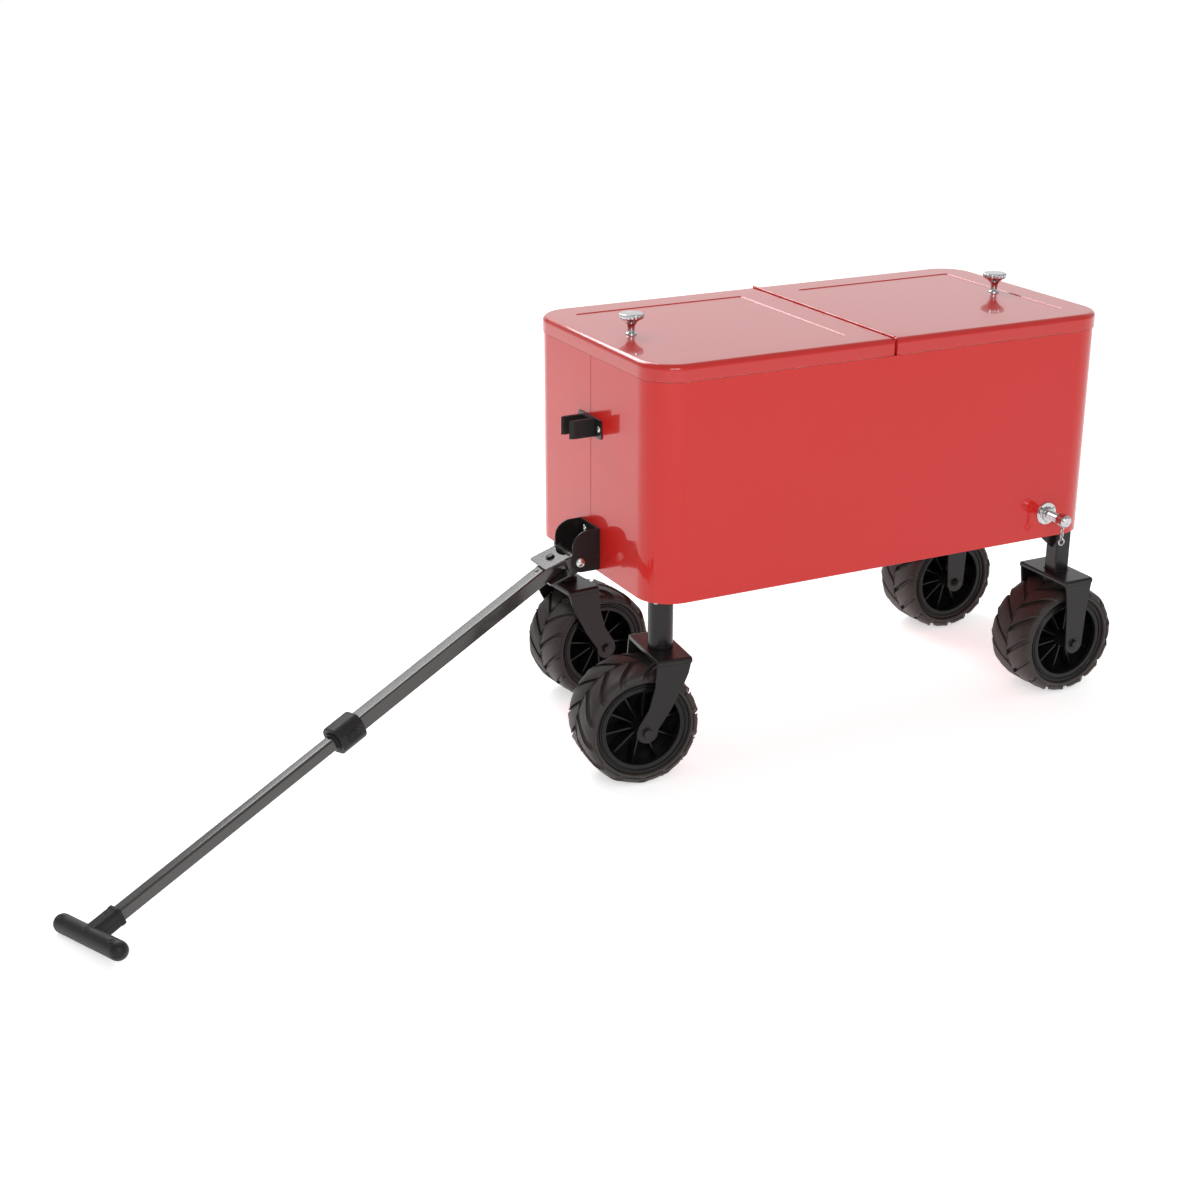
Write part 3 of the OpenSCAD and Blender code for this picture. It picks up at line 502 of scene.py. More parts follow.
RED_BODY = Finish("red_gloss_enamel", "red_body", (0.55, 0.011, 0.008), (0.51, 0.010, 0.007), 0.34,
                  coat=0.72, coat_rough=0.03, specular=0.12, blotch_scale=5.0, grain_scale=420.0,
                  grain_lumps=0.7, grain_depth=0.00003, grain_strength=0.10)
# Painted shade: the lids' red is the body's enamel made a little darker, to offset the stronger light that
# falls on their upward faces.
RED_LID_PAINTED_SHADE = Finish("red_lid_enamel_painted_shade", "red_lid", (0.52, 0.0105, 0.0078), (0.49, 0.0098, 0.0072),
                 0.32,
                 coat=0.85, coat_rough=0.03, specular=0.25, blotch_scale=6.0, grain_scale=420.0,
                 grain_lumps=0.7, grain_depth=0.00003, grain_strength=0.10)
WHITE_LINER = Finish("white_moulded_liner", "white_liner", (0.80, 0.80, 0.78), (0.74, 0.74, 0.72), 0.34,
                     grain_scale=1500.0, grain_depth=0.00004, grain_strength=0.35)
FOAM = Finish("cream_rigid_foam", "foam", (0.74, 0.66, 0.42), (0.66, 0.57, 0.34), 0.85,
              grain_scale=700.0, grain_depth=0.0004, grain_strength=0.8)
SEAL = Finish("grey_seal_rubber", "seal_rubber", (0.12, 0.12, 0.12), (0.08, 0.08, 0.08), 0.65,
              grain_scale=1400.0, grain_depth=0.00005)
BLACK_STEEL = Finish("black_powder_coat", "black_steel", (0.010, 0.0085, 0.0085),
                     (0.018, 0.015, 0.0145), 0.28,
                     rough_span=0.12, coat=0.15, coat_rough=0.15, specular=0.25, blotch_scale=22.0,
                     grain_scale=1100.0, grain_lumps=0.5, grain_depth=0.00005, grain_strength=0.35,
                     dust=0.15)
TUBE_STEEL = Finish("black_tube_enamel", "black_steel", (0.022, 0.019, 0.017), (0.034, 0.030, 0.026),
                    0.24,
                    rough_span=0.1, coat=0.6, coat_rough=0.12, specular=0.6, blotch_scale=16.0,
                    grain_scale=700.0, grain_lumps=0.6, grain_depth=0.00002, grain_strength=0.1)
BLACK_PLASTIC = Finish("black_matte_plastic", "black_plastic", (0.010, 0.010, 0.0105),
                       (0.017, 0.0165, 0.017), 0.46,
                       rough_span=0.1, specular=0.3, blotch_scale=30.0, grain_scale=2200.0,
                       grain_lumps=0.2,
                       grain_depth=0.00012, grain_strength=0.55)
RIM_PLASTIC = Finish("black_gloss_rim", "rim_plastic", (0.006, 0.006, 0.0065), (0.012, 0.0115, 0.0115),
                     0.22,
                     rough_span=0.1, specular=0.25, blotch_scale=26.0, grain_scale=1300.0,
                     grain_depth=0.00003, dust=0.12)
TYRE = Finish("brown_black_tyre", "tyre_rubber", (0.028, 0.0225, 0.0205), (0.043, 0.035, 0.0315), 0.48,
              rough_span=0.16, specular=0.35, blotch_scale=34.0, grain_scale=1500.0, grain_lumps=0.45,
              grain_depth=0.00018, grain_strength=0.6, dust=0.35)
CHROME = Finish("polished_chrome", "chrome", (0.60, 0.60, 0.61), (0.26, 0.26, 0.28), 0.07,
                rough_span=0.08, metallic=1.0, blotch_scale=130.0, blotch_contrast=0.2,
                grain_scale=1600.0,
                grain_depth=0.00001, grain_strength=0.15)
ZINC = Finish("bright_zinc_plate", "zinc_steel", (0.60, 0.60, 0.58), (0.48, 0.47, 0.44), 0.24,
              rough_span=0.16, metallic=1.0, blotch_scale=90.0, grain_scale=1800.0,
              grain_depth=0.00003)
BLACK_BOLT = Finish("blackened_bolt", "black_bolt", (0.022, 0.021, 0.021), (0.05, 0.045, 0.04), 0.28,
                    rough_span=0.15, metallic=0.6, blotch_scale=120.0, grain_scale=1800.0,
                    grain_depth=0.00003)


# ---- fasteners ----
@dataclass
class Fastener:
    """A bolt or screw along +Z whose head lies above z = 0."""

    shank: float
    length: float
    head: float
    head_height: float

    def dome(self) -> Shape:
        """Return a domed head with a washer and its shank."""
        r, h = self.head, self.head_height
        profile = [(0, h), (r * 0.35, h * 0.97), (r * 0.65, h * 0.84), (r * 0.86, h * 0.62),
                   (r * 0.97, h * 0.34), (r, h * 0.12), (r, 0), (0, 0)]
        return Shape.lathe(profile, 32).join(Shape.rod(self.shank, -self.length, 0.0002, 24))

    def cross(self) -> Shape:
        """Return a domed head with a cross recess and its shank."""
        head = self.dome()
        arm, deep = self.head * 0.62, self.head_height * 0.25
        for angle in (0, 90):
            bar = Shape.box((-arm, -self.head * 0.12, self.head_height - deep),
                            (arm, self.head * 0.12, self.head_height + 0.00005))
            head.join(bar.place(turn(angle, "Z")))
        return head

    def hexagon(self) -> Shape:
        """Return a hexagon head on a washer and its shank."""
        washer = Shape.rod(self.head * 1.18, 0, 0.0012, 32).bevel(0.0003, 1)
        head = Shape.rod(self.head, 0.001, self.head_height, 6).bevel(0.0007, 2)
        stamp = Shape.lathe([(0, self.head_height + 0.0004),
                             (self.head * 0.7, self.head_height + 0.0002),
                             (self.head * 0.8, self.head_height - 0.0004),
                             (0, self.head_height - 0.0004)], 24)
        return washer.join(head, stamp, Shape.rod(self.shank, -self.length, 0.001, 24))

    def nut(self) -> Shape:
        """Return a lock nut with its collar and the bolt's threaded end."""
        h = self.head_height
        washer = Shape.rod(self.head * 1.18, 0, 0.0012, 32).bevel(0.0003, 1)
        body = Shape.rod(self.head, 0.001, h * 0.72, 6).bevel(0.0006, 2)
        collar = Shape.lathe([(0, h), (self.shank, h), (self.head * 0.72, h * 0.98),
                              (self.head * 0.8, h * 0.9),
                              (self.head * 0.8, h * 0.6), (0, h * 0.6)], 28)
        end = [(0, h + 0.003)]
        for i in range(5):
            z = h + 0.0026 - i * 0.0007
            end += [(self.shank * 0.86, z), (self.shank, z - 0.00035)]
        return washer.join(body, collar, Shape.lathe(end + [(0, h - 0.001)], 24))


def weld_bead(path: Sequence[Vec], radius: float) -> Shape:
    """Return a row of overlapping weld ripples along a closed path.

    Args:
        path: Corners of the path.
        radius: Radius of the bead.

    Returns:
        The shape.
    """
    bead = Shape()
    ends = list(zip(path, list(path[1:]) + [path[0]]))
    for a, b in ends:
        start, stop = Vector(a), Vector(b)
        count = max(1, round((stop - start).length / (radius * 1.1)))
        for i in range(count):
            spot = start.lerp(stop, i / count)
            bmesh.ops.create_icosphere(bead.bm, subdivisions=1, radius=radius,
                                       matrix=Matrix.Translation(spot))
    return bead


# ---- the cooler ----
@dataclass
class Cooler:
    """The insulated body with its tub."""

    half_length: float = 0.435
    half_width: float = 0.220
    height: float = 0.360
    corner: float = 0.058
    sheet: float = 0.0008
    tub_wall: float = 0.003
    gap: float = 0.0292
    tub_floor: float = 0.033
    seam_half: float = 0.0009
    facets: int = 14

    def outward(self, point: Vector, corner: float, length: float, width: float) -> Vector:
        """Return the level outward direction of a rounded rectangle at a point on it."""
        x = min(max(point.x, corner - length), length - corner)
        y = min(max(point.y, corner - width), width - corner)
        return Vector((point.x - x, point.y - y, 0)).normalized()

    def outline(self, inset: float, level: float) -> list[Vec]:
        """Return the level outline of the steel with its lapped seam, inset by a distance."""
        x, y, r = self.half_length - inset, self.half_width - inset, self.corner - inset
        seam = self.seam_half
        depth = 0.0 if inset >= self.sheet else 1.0
        lap = [(seam, 0.0), (seam, -0.0007), (-seam, -0.0007), (-seam, 0.0003), (-seam * 2.4, 0.0006),
               (-seam * 6, 0.0)]
        points = arc(x - r, y - r, r, 0, 90, self.facets) + arc(r - x, y - r, r, 90, 180, self.facets)
        points += [(-x - out * depth, at) for at, out in lap]
        points += arc(r - x, r - y, r, 180, 270, self.facets) + arc(x - r, r - y, r, 270, 360,
                                                                    self.facets)
        return [(px, py, level) for px, py in points]

    def shell(self) -> None:
        """Build the steel shell with its lapped upright seam and its dulled edges."""
        top, edge = self.height, 0.0003
        loops = [self.outline(0, edge), self.outline(0, top - edge), self.outline(edge, top),
                 self.outline(self.sheet, top), self.outline(self.sheet, 0), self.outline(edge, 0)]
        Shape.loft(loops).piece("body_shell_steel", RED_BODY, "root", "body_shell", smooth=30)

    def tub(self) -> None:
        """Build the moulded tub with rounded floor edges and its top flange."""
        length = self.half_length - self.sheet - self.gap - self.tub_wall
        width = self.half_width - self.sheet - self.gap - self.tub_wall
        corner = self.corner - self.sheet - self.gap - self.tub_wall
        pan = Shape.box((-length, -width, self.tub_floor), (length, width, self.height))
        pan.bevel(corner, 8, where=runs_along(2, 0.1))
        bm = pan.bm
        bmesh.ops.delete(bm, geom=[f for f in bm.faces if f.normal.z > 0.9], context="FACES")
        pan.bevel(0.012, 4, where=lambda e: all(v.co.z < self.tub_floor + 1e-5 for v in e.verts))
        lip = [e for e in bm.edges if e.is_boundary]
        made = bmesh.ops.extrude_edge_only(bm, edges=lip)["geom"]
        reach = self.gap + self.tub_wall
        for vert in only_verts(made):
            vert.co += reach * self.outward(vert.co, corner, length, width)
        bmesh.ops.recalc_face_normals(bm, faces=bm.faces)
        floor = next(f for f in bm.faces if abs(f.normal.z) > 0.99
                     and f.calc_center_median().z < self.tub_floor + 1e-4)
        if floor.normal.z < 0:
            bmesh.ops.reverse_faces(bm, faces=bm.faces)
        bmesh.ops.solidify(bm, geom=bm.faces[:], thickness=self.tub_wall)
        pan.piece("tub_liner", WHITE_LINER, "root", "inner_tub", "tub_floor")

    def build(self) -> None:
        """Build the cooler."""
        self.shell()
        self.tub()


@dataclass
class Lid:
    """One lid: a pressed steel pan with a recessed panel, and its knob."""

    name: str
    mirrored: bool
    outer_end: float = 0.437
    inner_end: float = 0.003
    half_width: float = 0.222
    low: float = 0.3612
    high: float = 0.388
    corner: float = 0.060
    edge: float = 0.009
    border: float = 0.055
    dip: float = 0.0012
    sheet: float = 0.0008
    knob_in: float = 0.075
    knob_radius: float = 0.0205
    knob_height: float = 0.035
    flutes: int = 20

    def _set(self, shape: Shape) -> Shape:
        """Return the shape, mirrored to the far end where this lid is there."""
        return shape.mirrored(0) if self.mirrored else shape

    def skin(self) -> None:
        """Build the pressed steel pan."""
        pan = Shape.box((-self.outer_end, -self.half_width, self.low),
                        (-self.inner_end, self.half_width, self.high))
        bm = pan.bm
        pan.bevel(self.corner, 14, where=lambda e: all(v.co.x < -self.outer_end + 1e-6 for v in e.verts)
                  and abs(e.verts[0].co.z - e.verts[1].co.z) > 0.01)
        top_edge = self.high - 1e-6
        pan.bevel(self.edge, 6, where=lambda e: all(v.co.z > top_edge for v in e.verts)
                  and not all(v.co.x > -self.inner_end - 1e-6 for v in e.verts))
        pan.bevel(0.0015, 2, where=lambda e: all(v.co.z > top_edge and v.co.x > -self.inner_end - 1e-6
                                                 for v in e.verts))
        bmesh.ops.delete(bm, geom=[f for f in bm.faces if f.normal.z < -0.9], context="FACES")
        x_out, x_in = -self.outer_end + self.border, -self.inner_end - self.border
        y_out = self.half_width - self.border
        for point, normal in (((x_out, 0, 0), (1, 0, 0)), ((x_in, 0, 0), (1, 0, 0)),
                              ((0, -y_out, 0), (0, 1, 0)), ((0, y_out, 0), (0, 1, 0))):
            top = [f for f in bm.faces if f.normal.z > 0.999]
            geom = top + list({e for f in top for e in f.edges}) + list({v for f in top for v in f.verts})
            bmesh.ops.bisect_plane(bm, geom=geom, plane_co=point, plane_no=normal, dist=1e-6)
        middle = Vector(((x_out + x_in) / 2, 0, self.high))
        panel = min(bm.faces, key=lambda f: (f.calc_center_median() - middle).length)
        bmesh.ops.bevel(bm, geom=panel.verts[:], offset=0.006, segments=3, profile=0.5,
                        affect="VERTICES", material=-1)
        panel = min(bm.faces, key=lambda f: (f.calc_center_median() - middle).length)
        bmesh.ops.inset_region(bm, faces=[panel], thickness=0.0014, depth=-self.dip,
                               use_even_offset=True)
        pan.shell(self.sheet)
        self._set(pan).piece(f"{self.name}_pressed_steel", RED_LID_PAINTED_SHADE, self.name, f"{self.name}_skin",
                             smooth=32)

    def core(self, node: bpy.types.Object) -> None:
        """Build the foam core with the pan's rounded edge."""
        xs, zs = [v.co.x for v in node.data.vertices], [v.co.z for v in node.data.vertices]
        skin = self.sheet + 0.0002
        end, split = self.outer_end - skin, min(abs(min(xs)), abs(max(xs)))
        block = Shape.box((-end, -self.half_width + skin, min(zs)),
                          (-split, self.half_width - skin, max(zs)))
        block.bevel(self.corner - skin, 10, where=lambda e: all(v.co.x < -end + 1e-6 for v in e.verts)
                    and abs(e.verts[0].co.z - e.verts[1].co.z) > 0.005)
        block.bevel(self.edge, 4, where=lambda e: all(v.co.z > max(zs) - 1e-6 for v in e.verts)
                    and not all(v.co.x > -split - 1e-6 for v in e.verts))
        self._set(block).piece(f"{self.name}_foam_core", FOAM, self.name, f"{self.name}_foam")

    def knob(self) -> None:
        """Build the turned chrome knob."""
        r, h = self.knob_radius, self.knob_height
        flare = [(0.0058 + (r - 0.0078) * t ** 3.0,
                  0.006 + (h - 0.0150) * t) for t in [i / 12 for i in range(13)]]
        profile = ([(0, 0), (0.0096, 0), (0.0096, 0.0014), (0.0084, 0.0026), (0.0062, 0.0040)] + flare
                   + [(r - 0.0006, h - 0.0082), (r, h - 0.0070), (r, h - 0.0024),
                      (r - 0.0008, h - 0.0012),
                      (r - 0.0024, h - 0.0005), (r * 0.72, h - 0.0001), (r * 0.4, h), (0, h)])
        turned = Shape.lathe(profile, 6 * self.flutes)
        for vert in turned.bm.verts:
            reach = math.hypot(vert.co.x, vert.co.y)
            if reach > r * 0.95 and vert.co.z < h - 0.0008:
                wave = 0.5 - 0.5 * math.cos(self.flutes * math.atan2(vert.co.y, vert.co.x))
                shrink = 1.0 - 0.055 * wave
                vert.co.x, vert.co.y = vert.co.x * shrink, vert.co.y * shrink
        turned.join(Shape.rod(0.0025, -0.009, 0.0005, 20))
        turned.place(move(-self.outer_end + self.knob_in, 0, self.high - self.dip))
        self._set(turned).piece(f"{self.name}_turned_knob", CHROME, self.name, f"{self.name}_knob",
                                smooth=45)

    def build(self, nodes: dict[str, bpy.types.Object]) -> None:
        """Build the lid beside its CAD nodes."""
        self.skin()
        self.core(nodes[f"{self.name}_foam"])
        self.knob()


# ---- clip and bracket on the handle-end wall ----
@dataclass
class HandleClip:
    """The clip that parks the handle upright."""

    wall: float = -0.435
    height: float = 0.245
    plate: float = 0.002
    half_width: float = 0.042
    half_height: float = 0.016
    slot: float = 0.0128
    jaw: float = 0.006
    reach: float = 0.046
    jaw_half: float = 0.015
    screw_at: float = 0.033

    def build(self) -> None:
        """Build the steel plate, the plastic jaws and the two screws."""
        plate = Shape.box((-self.plate, -self.half_width, -self.half_height),
                          (0, self.half_width, self.half_height))
        plate.bevel(0.005, 4, where=runs_along(0, 0.001))
        plate.bevel(0.0004, 1)
        plate.place(move(self.wall, 0, self.height)).piece("clip_backplate", BLACK_STEEL, "root",
                                                           "clip_plate")
        outer, front = self.slot + self.jaw, -self.reach
        half = [(-self.plate, outer), (front + 0.009, outer), (front + 0.003, outer - 0.0015),
                (front, outer - 0.004),
                (front + 0.001, self.slot + 0.0026), (front + 0.006, self.slot),
                (-self.plate - 0.006, self.slot)]
        outline = half + [(x, -y) for x, y in reversed(half)]
        jaws = Shape.prism(outline, -self.jaw_half, self.jaw_half).bevel(0.0012, 2)
        jaws.place(move(self.wall, 0, self.height)).piece("clip_jaws", BLACK_PLASTIC, "root",
                                                          "handle_clip")
        screws = Shape()
        for side in Side:
            screw = Fastener(0.0025, 0.010, 0.0048, 0.0026).cross()
            screws.join(screw.place(move(self.wall - self.plate, side.value * self.screw_at,
                                         self.height) @ turn(-90, "Y")))
        screws.piece("clip_cross_screws", ZINC, "root")


@dataclass
class HandleBracket:
    """The U bracket that carries the handle's pivot bolt."""

    wall: float = -0.435
    low: float = 0.006
    height: float = 0.071
    half_width: float = 0.0345
    length: float = 0.050
    plate: float = 0.003
    pivot_out: float = 0.036
    pivot_z: float = 0.024
    bolt_y: float = 0.017

    def build(self) -> None:
        """Build the bracket, its bolts and the pivot bolt."""
        height, length = self.height, self.length
        outline = ([(0, 0), (0, height), (-length + 0.028, height)]
                   + arc(-length + 0.028, height - 0.028, 0.028, 90, 180, 12)[1:]
                   + arc(-length + 0.017, 0.017, 0.017, 180, 270, 8))
        bracket = Shape.box((-self.plate, -self.half_width, 0), (0, self.half_width, height))
        bracket.bevel(0.0025, 3, where=lambda e: runs_along(2)(e) and e.verts[0].co.x < -0.001)
        bracket.bevel(0.0004, 1)
        for side in Side:
            cheek = Shape.prism(outline, 0, self.plate).bevel(0.0006, 2)
            inner = side.value * self.half_width + (self.plate if side is Side.NEAR else 0)
            cheek.place(move(0, inner) @ turn(90, "X"))
            bracket.join(cheek)
        bracket.place(move(self.wall, 0, self.low)).piece("bracket_folded_u", BLACK_STEEL, "root",
                                                          "handle_bracket",
                                                          smooth=50)
        bolts = Shape()
        for side in Side:
            for z in (0.020, height - 0.014):
                spot = move(self.wall - self.plate, side.value * self.bolt_y, self.low + z)
                bolts.join(Fastener(0.003, 0.013, 0.0058, 0.0032).dome().place(spot @ turn(-90, "Y")))
        bolts.piece("bracket_dome_bolts", ZINC, "root", "wall_screws")
        pivot = Fastener(0.005, 0.060, 0.0085, 0.005).dome().place(
            move(self.wall - self.pivot_out, -self.half_width, self.pivot_z) @ turn(90, "X"))
        nut = Fastener(0.005, 0, 0.009, 0.007).nut().place(
            move(self.wall - self.pivot_out, self.half_width, self.pivot_z) @ turn(-90, "X"))
        pivot.join(nut).piece("pivot_bolt_and_nut", ZINC, "root", "pivot_bolt")


# ---- legs, forks and wheels ----
@dataclass
class Undercarriage:
    """The four legs, the forks, the axles and the wheels."""

    front_x: float = -0.397
    rear_x: float = 0.409
    leg_y: float = 0.175
    drop: float = 0.085
    tube_radius: float = 0.0205
    tube_wall: float = 0.0025
    flange_radius: float = 0.032
    flange_top: float = 0.0052
    pan: float = 0.0012
    rear_half: float = 0.015
    gusset: float = 0.042
    fork_half: float = 0.0645
    fork_plate: float = 0.004
    fork_lip: float = 0.0025
    fork_length: float = 0.060
    fork_end: float = 0.018
    trail: float = 0.046
    axle_drop: float = 0.121
    axle: float = 0.005
    turns: dict[Side, float] = field(default_factory=lambda: {Side.NEAR: -6.5, Side.FAR: 184.4})

    @property
    def axle_z(self) -> float:
        """Height of the axles."""
        return -self.drop - self.axle_drop

    def caster(self, side: Side) -> Matrix:
        """Return the place of a caster's swivel axis with its turn at rest."""
        return move(self.front_x, side.value * self.leg_y, 0) @ turn(self.turns[side], "Z")

    def front_leg(self, side: Side) -> None:
        """Build a round front leg with its flange and weld."""
        label = side.name.lower()
        low = -self.drop + 0.0052
        r, inner = self.tube_radius, self.tube_radius - self.tube_wall
        tube = Shape.lathe([(r, low + 0.0005), (r, self.flange_top), (inner, self.flange_top),
                            (inner, low),
                            (r - 0.0005, low)], 56, closed=True)
        rim, top, bore = self.flange_radius, self.flange_top - 0.0002, inner + 0.0004
        plate = Shape.lathe([(bore, self.pan), (rim, self.pan), (rim, top), (bore, top)], 56,
                            closed=True)
        bead = Shape.ring(r, 0.0012, 56, 8).place(move(z=-0.0006))
        tube.join(plate, bead).place(move(self.front_x, side.value * self.leg_y))
        tube.piece(f"front_leg_{label}_tube", BLACK_STEEL, "root", f"front_leg_{label}")

    def rear_leg(self, side: Side) -> None:
        """Build a square rear leg with its gusset and top flange."""
        label, s, half = side.name.lower(), side.value, self.rear_half
        tube = Shape.box((-half, -half, -self.drop), (half, half, self.flange_top))
        tube.bevel(0.003, 4, where=runs_along(2))
        flange = Shape.box((-half - 0.045, -half - 0.045, self.pan),
                           (half, half, self.flange_top)).bevel(0.0005, 1)
        web = Shape.prism([(-half + 0.0005, -0.0004), (-half - self.gusset, -0.0004),
                           (-half - self.gusset, -0.004), (-half + 0.0005, -self.gusset)], -0.002,
                           0.002)
        web.bevel(0.0005, 1).place(turn(90, "X"))
        foot = [(-half, -half, -self.drop), (half, -half, -self.drop), (half, half, -self.drop),
                (-half, half, -self.drop)]
        tube.join(flange, web, weld_bead(foot, 0.0014))
        if side is Side.NEAR:
            tube = tube.mirrored(1)
        tube.place(move(self.rear_x, s * self.leg_y)).piece(f"rear_leg_{label}_tube", BLACK_STEEL,
                                                            "root",
                                                           f"rear_leg_{label}")

    def fork(self, trail: float) -> Shape:
        """Return a fork under z = 0 whose axle lies a trail behind its middle."""
        half, drop, end = self.fork_length / 2, self.axle_drop, self.fork_end
        if trail:
            lead = [(half, 0), (half - 0.006, -0.026), (half - 0.015, -0.047), (half - 0.037, -0.088)]
            rear = [(-trail - end + 0.0035, -0.108), (-0.044, -0.082), (-0.0335, -0.046), (-half, 0)]
        else:
            lead = [(half - 0.001, 0), (end + 0.0035, -0.06)]
            rear = [(-end - 0.0035, -0.06), (-half + 0.001, 0)]
        round_end = arc(-trail, -drop, end, 8 if trail else 0, -196 if trail else -180, 20)
        outline = lead + round_end + rear
        top = Shape.box((-half, -self.fork_half, -0.009), (half, self.fork_half, 0))
        top.bevel(0.0045, 4, where=lambda e: runs_along(0)(e) and e.verts[0].co.z > -0.001)
        bmesh.ops.delete(top.bm, geom=[f for f in top.bm.faces if f.normal.z < -0.9], context="FACES")
        caps = [f for f in top.bm.faces if abs(f.normal.x) > 0.9]
        bmesh.ops.delete(top.bm, geom=caps, context="FACES")
        top.shell(self.fork_plate)
        top.bevel(0.0008, 2, angle=60)
        for end_x in (-half, half - self.fork_lip):
            wide = self.fork_half - self.fork_plate
            lip = Shape.box((end_x, -wide, -2 * self.fork_plate),
                            (end_x + self.fork_lip, wide, -0.0006))
            top.join(lip.bevel(0.0007, 2))
        for side in Side:
            leg = Shape.prism(outline, 0, self.fork_plate)
            leg.place(turn(90, "X"))
            leg.place(move(0,
                           side.value * self.fork_half + (self.fork_plate if side is Side.NEAR else 0),
                           0))
            top.join(leg.cut(-0.0088, above=True).bevel(0.0006, 2))
        return top

    def axle_bolt(self) -> Shape:
        """Return an axle bolt along Y with its head on the -Y side."""
        bolt = Fastener(self.axle, 2 * self.fork_half, 0.0082, 0.0056).hexagon()
        bolt.place(move(0, -self.fork_half, 0) @ turn(90, "X"))
        nut = Fastener(self.axle, 0, 0.0082,
                       0.007).nut().place(move(0, self.fork_half, 0) @ turn(-90, "X"))
        return bolt.join(nut)

    def caster_parts(self, side: Side) -> None:
        """Build a caster's fork, stem and axle bolt."""
        label, body = side.name.lower(), f"caster_{side.name.lower()}"
        place = self.caster(side)
        self.fork(self.trail).place(place @ move(z=-self.drop)).piece(
            f"caster_fork_{label}_folded", BLACK_STEEL, body, f"caster_fork_{label}", smooth=45)
        low = -self.drop - self.fork_plate
        stem = Fastener(0.008, 0, 0.012, 0.006).hexagon().place(move(z=low) @ turn(180, "X"))
        top = -self.drop + 0.0003 + 0.0047 + 0.060
        stem.join(Shape.rod(0.008, low, top + 0.010, 28),
                  Fastener(0.008, 0, 0.0128, 0.009).nut().place(move(z=top + 0.0003)))
        stem.place(place).piece(f"caster_stem_{label}_bolt", BLACK_BOLT, body, f"caster_stem_{label}")
        axle = self.axle_bolt()
        if side is Side.FAR:
            axle = axle.mirrored(1)
        axle.place(place @ move(-self.trail, 0, self.axle_z)).piece(
            f"caster_axle_{label}_bolt", BLACK_BOLT, body, f"caster_axle_{label}")

    def bushes(self) -> None:
        """Build the two bushes in the front legs."""
        both = Shape()
        r, low = self.tube_radius, -self.drop + 0.0003
        for side in Side:
            profile = [(0.0081, low), (r - 0.0008, low), (r, low + 0.0008), (r, low + 0.0047),
                       (r - self.tube_wall, low + 0.0047), (r - self.tube_wall, low + 0.0647),
                       (0.0081, low + 0.0647)]
            both.join(Shape.lathe(profile, 48,
                                  closed=True).place(move(self.front_x, side.value * self.leg_y)))
        both.piece("caster_bush_pair", BLACK_PLASTIC, "root", "caster_bushes")

    def rear_parts(self) -> None:
        """Build the rear forks and their axle bolts."""
        axles = Shape()
        for side in Side:
            label, spot = side.name.lower(), move(self.rear_x, side.value * self.leg_y)
            self.fork(0.0).place(spot @ move(z=-self.drop)).piece(
                f"rear_fork_{label}_folded", BLACK_STEEL, "root", f"rear_fork_{label}", smooth=45)
            axle = self.axle_bolt()
            if side is Side.FAR:
                axle = axle.mirrored(1)
            axles.join(axle.place(spot @ move(z=self.axle_z)))
        axles.piece("rear_axle_bolts", BLACK_BOLT, "root", "rear_axles")

    def bolts(self) -> None:
        """Build the bolts that hold the legs to the bottom pan."""
        spots: list[Point] = []
        pitch = (self.tube_radius + self.flange_radius) / 2
        at = self.rear_half + 0.028
        for side in Side:
            s = side.value
            spots += [(self.front_x + x, s * self.leg_y + y) for x, y in arc(0, 0, pitch, 45, 315, 3)]
            spots += [(self.rear_x + x, s * (self.leg_y + y)) for x,
                      y in ((-at, -0.014), (-at, -at), (0, -at))]
        bolts = Shape()
        for x, y in spots:
            bolts.join(Fastener(0.0025, 0.009, 0.0044,
                                0.0033).hexagon().place(move(x, y) @ turn(180, "X")))
        bolts.piece("leg_hex_bolts", ZINC, "root", "leg_bolts")

    def build(self) -> None:
        """Build the undercarriage."""
        for side in Side:
            self.front_leg(side)
            self.rear_leg(side)
            self.caster_parts(side)
            label = side.name.lower()
            front = self.caster(side) @ move(-self.trail, 0, self.axle_z)
            Wheel(f"front_{label}", Tread.UP).build(front)
            rear = move(self.rear_x, side.value * self.leg_y, self.axle_z)
            Wheel(f"rear_{label}", Tread.DOWN).build(rear)
        self.bushes()
        self.rear_parts()
        self.bolts()


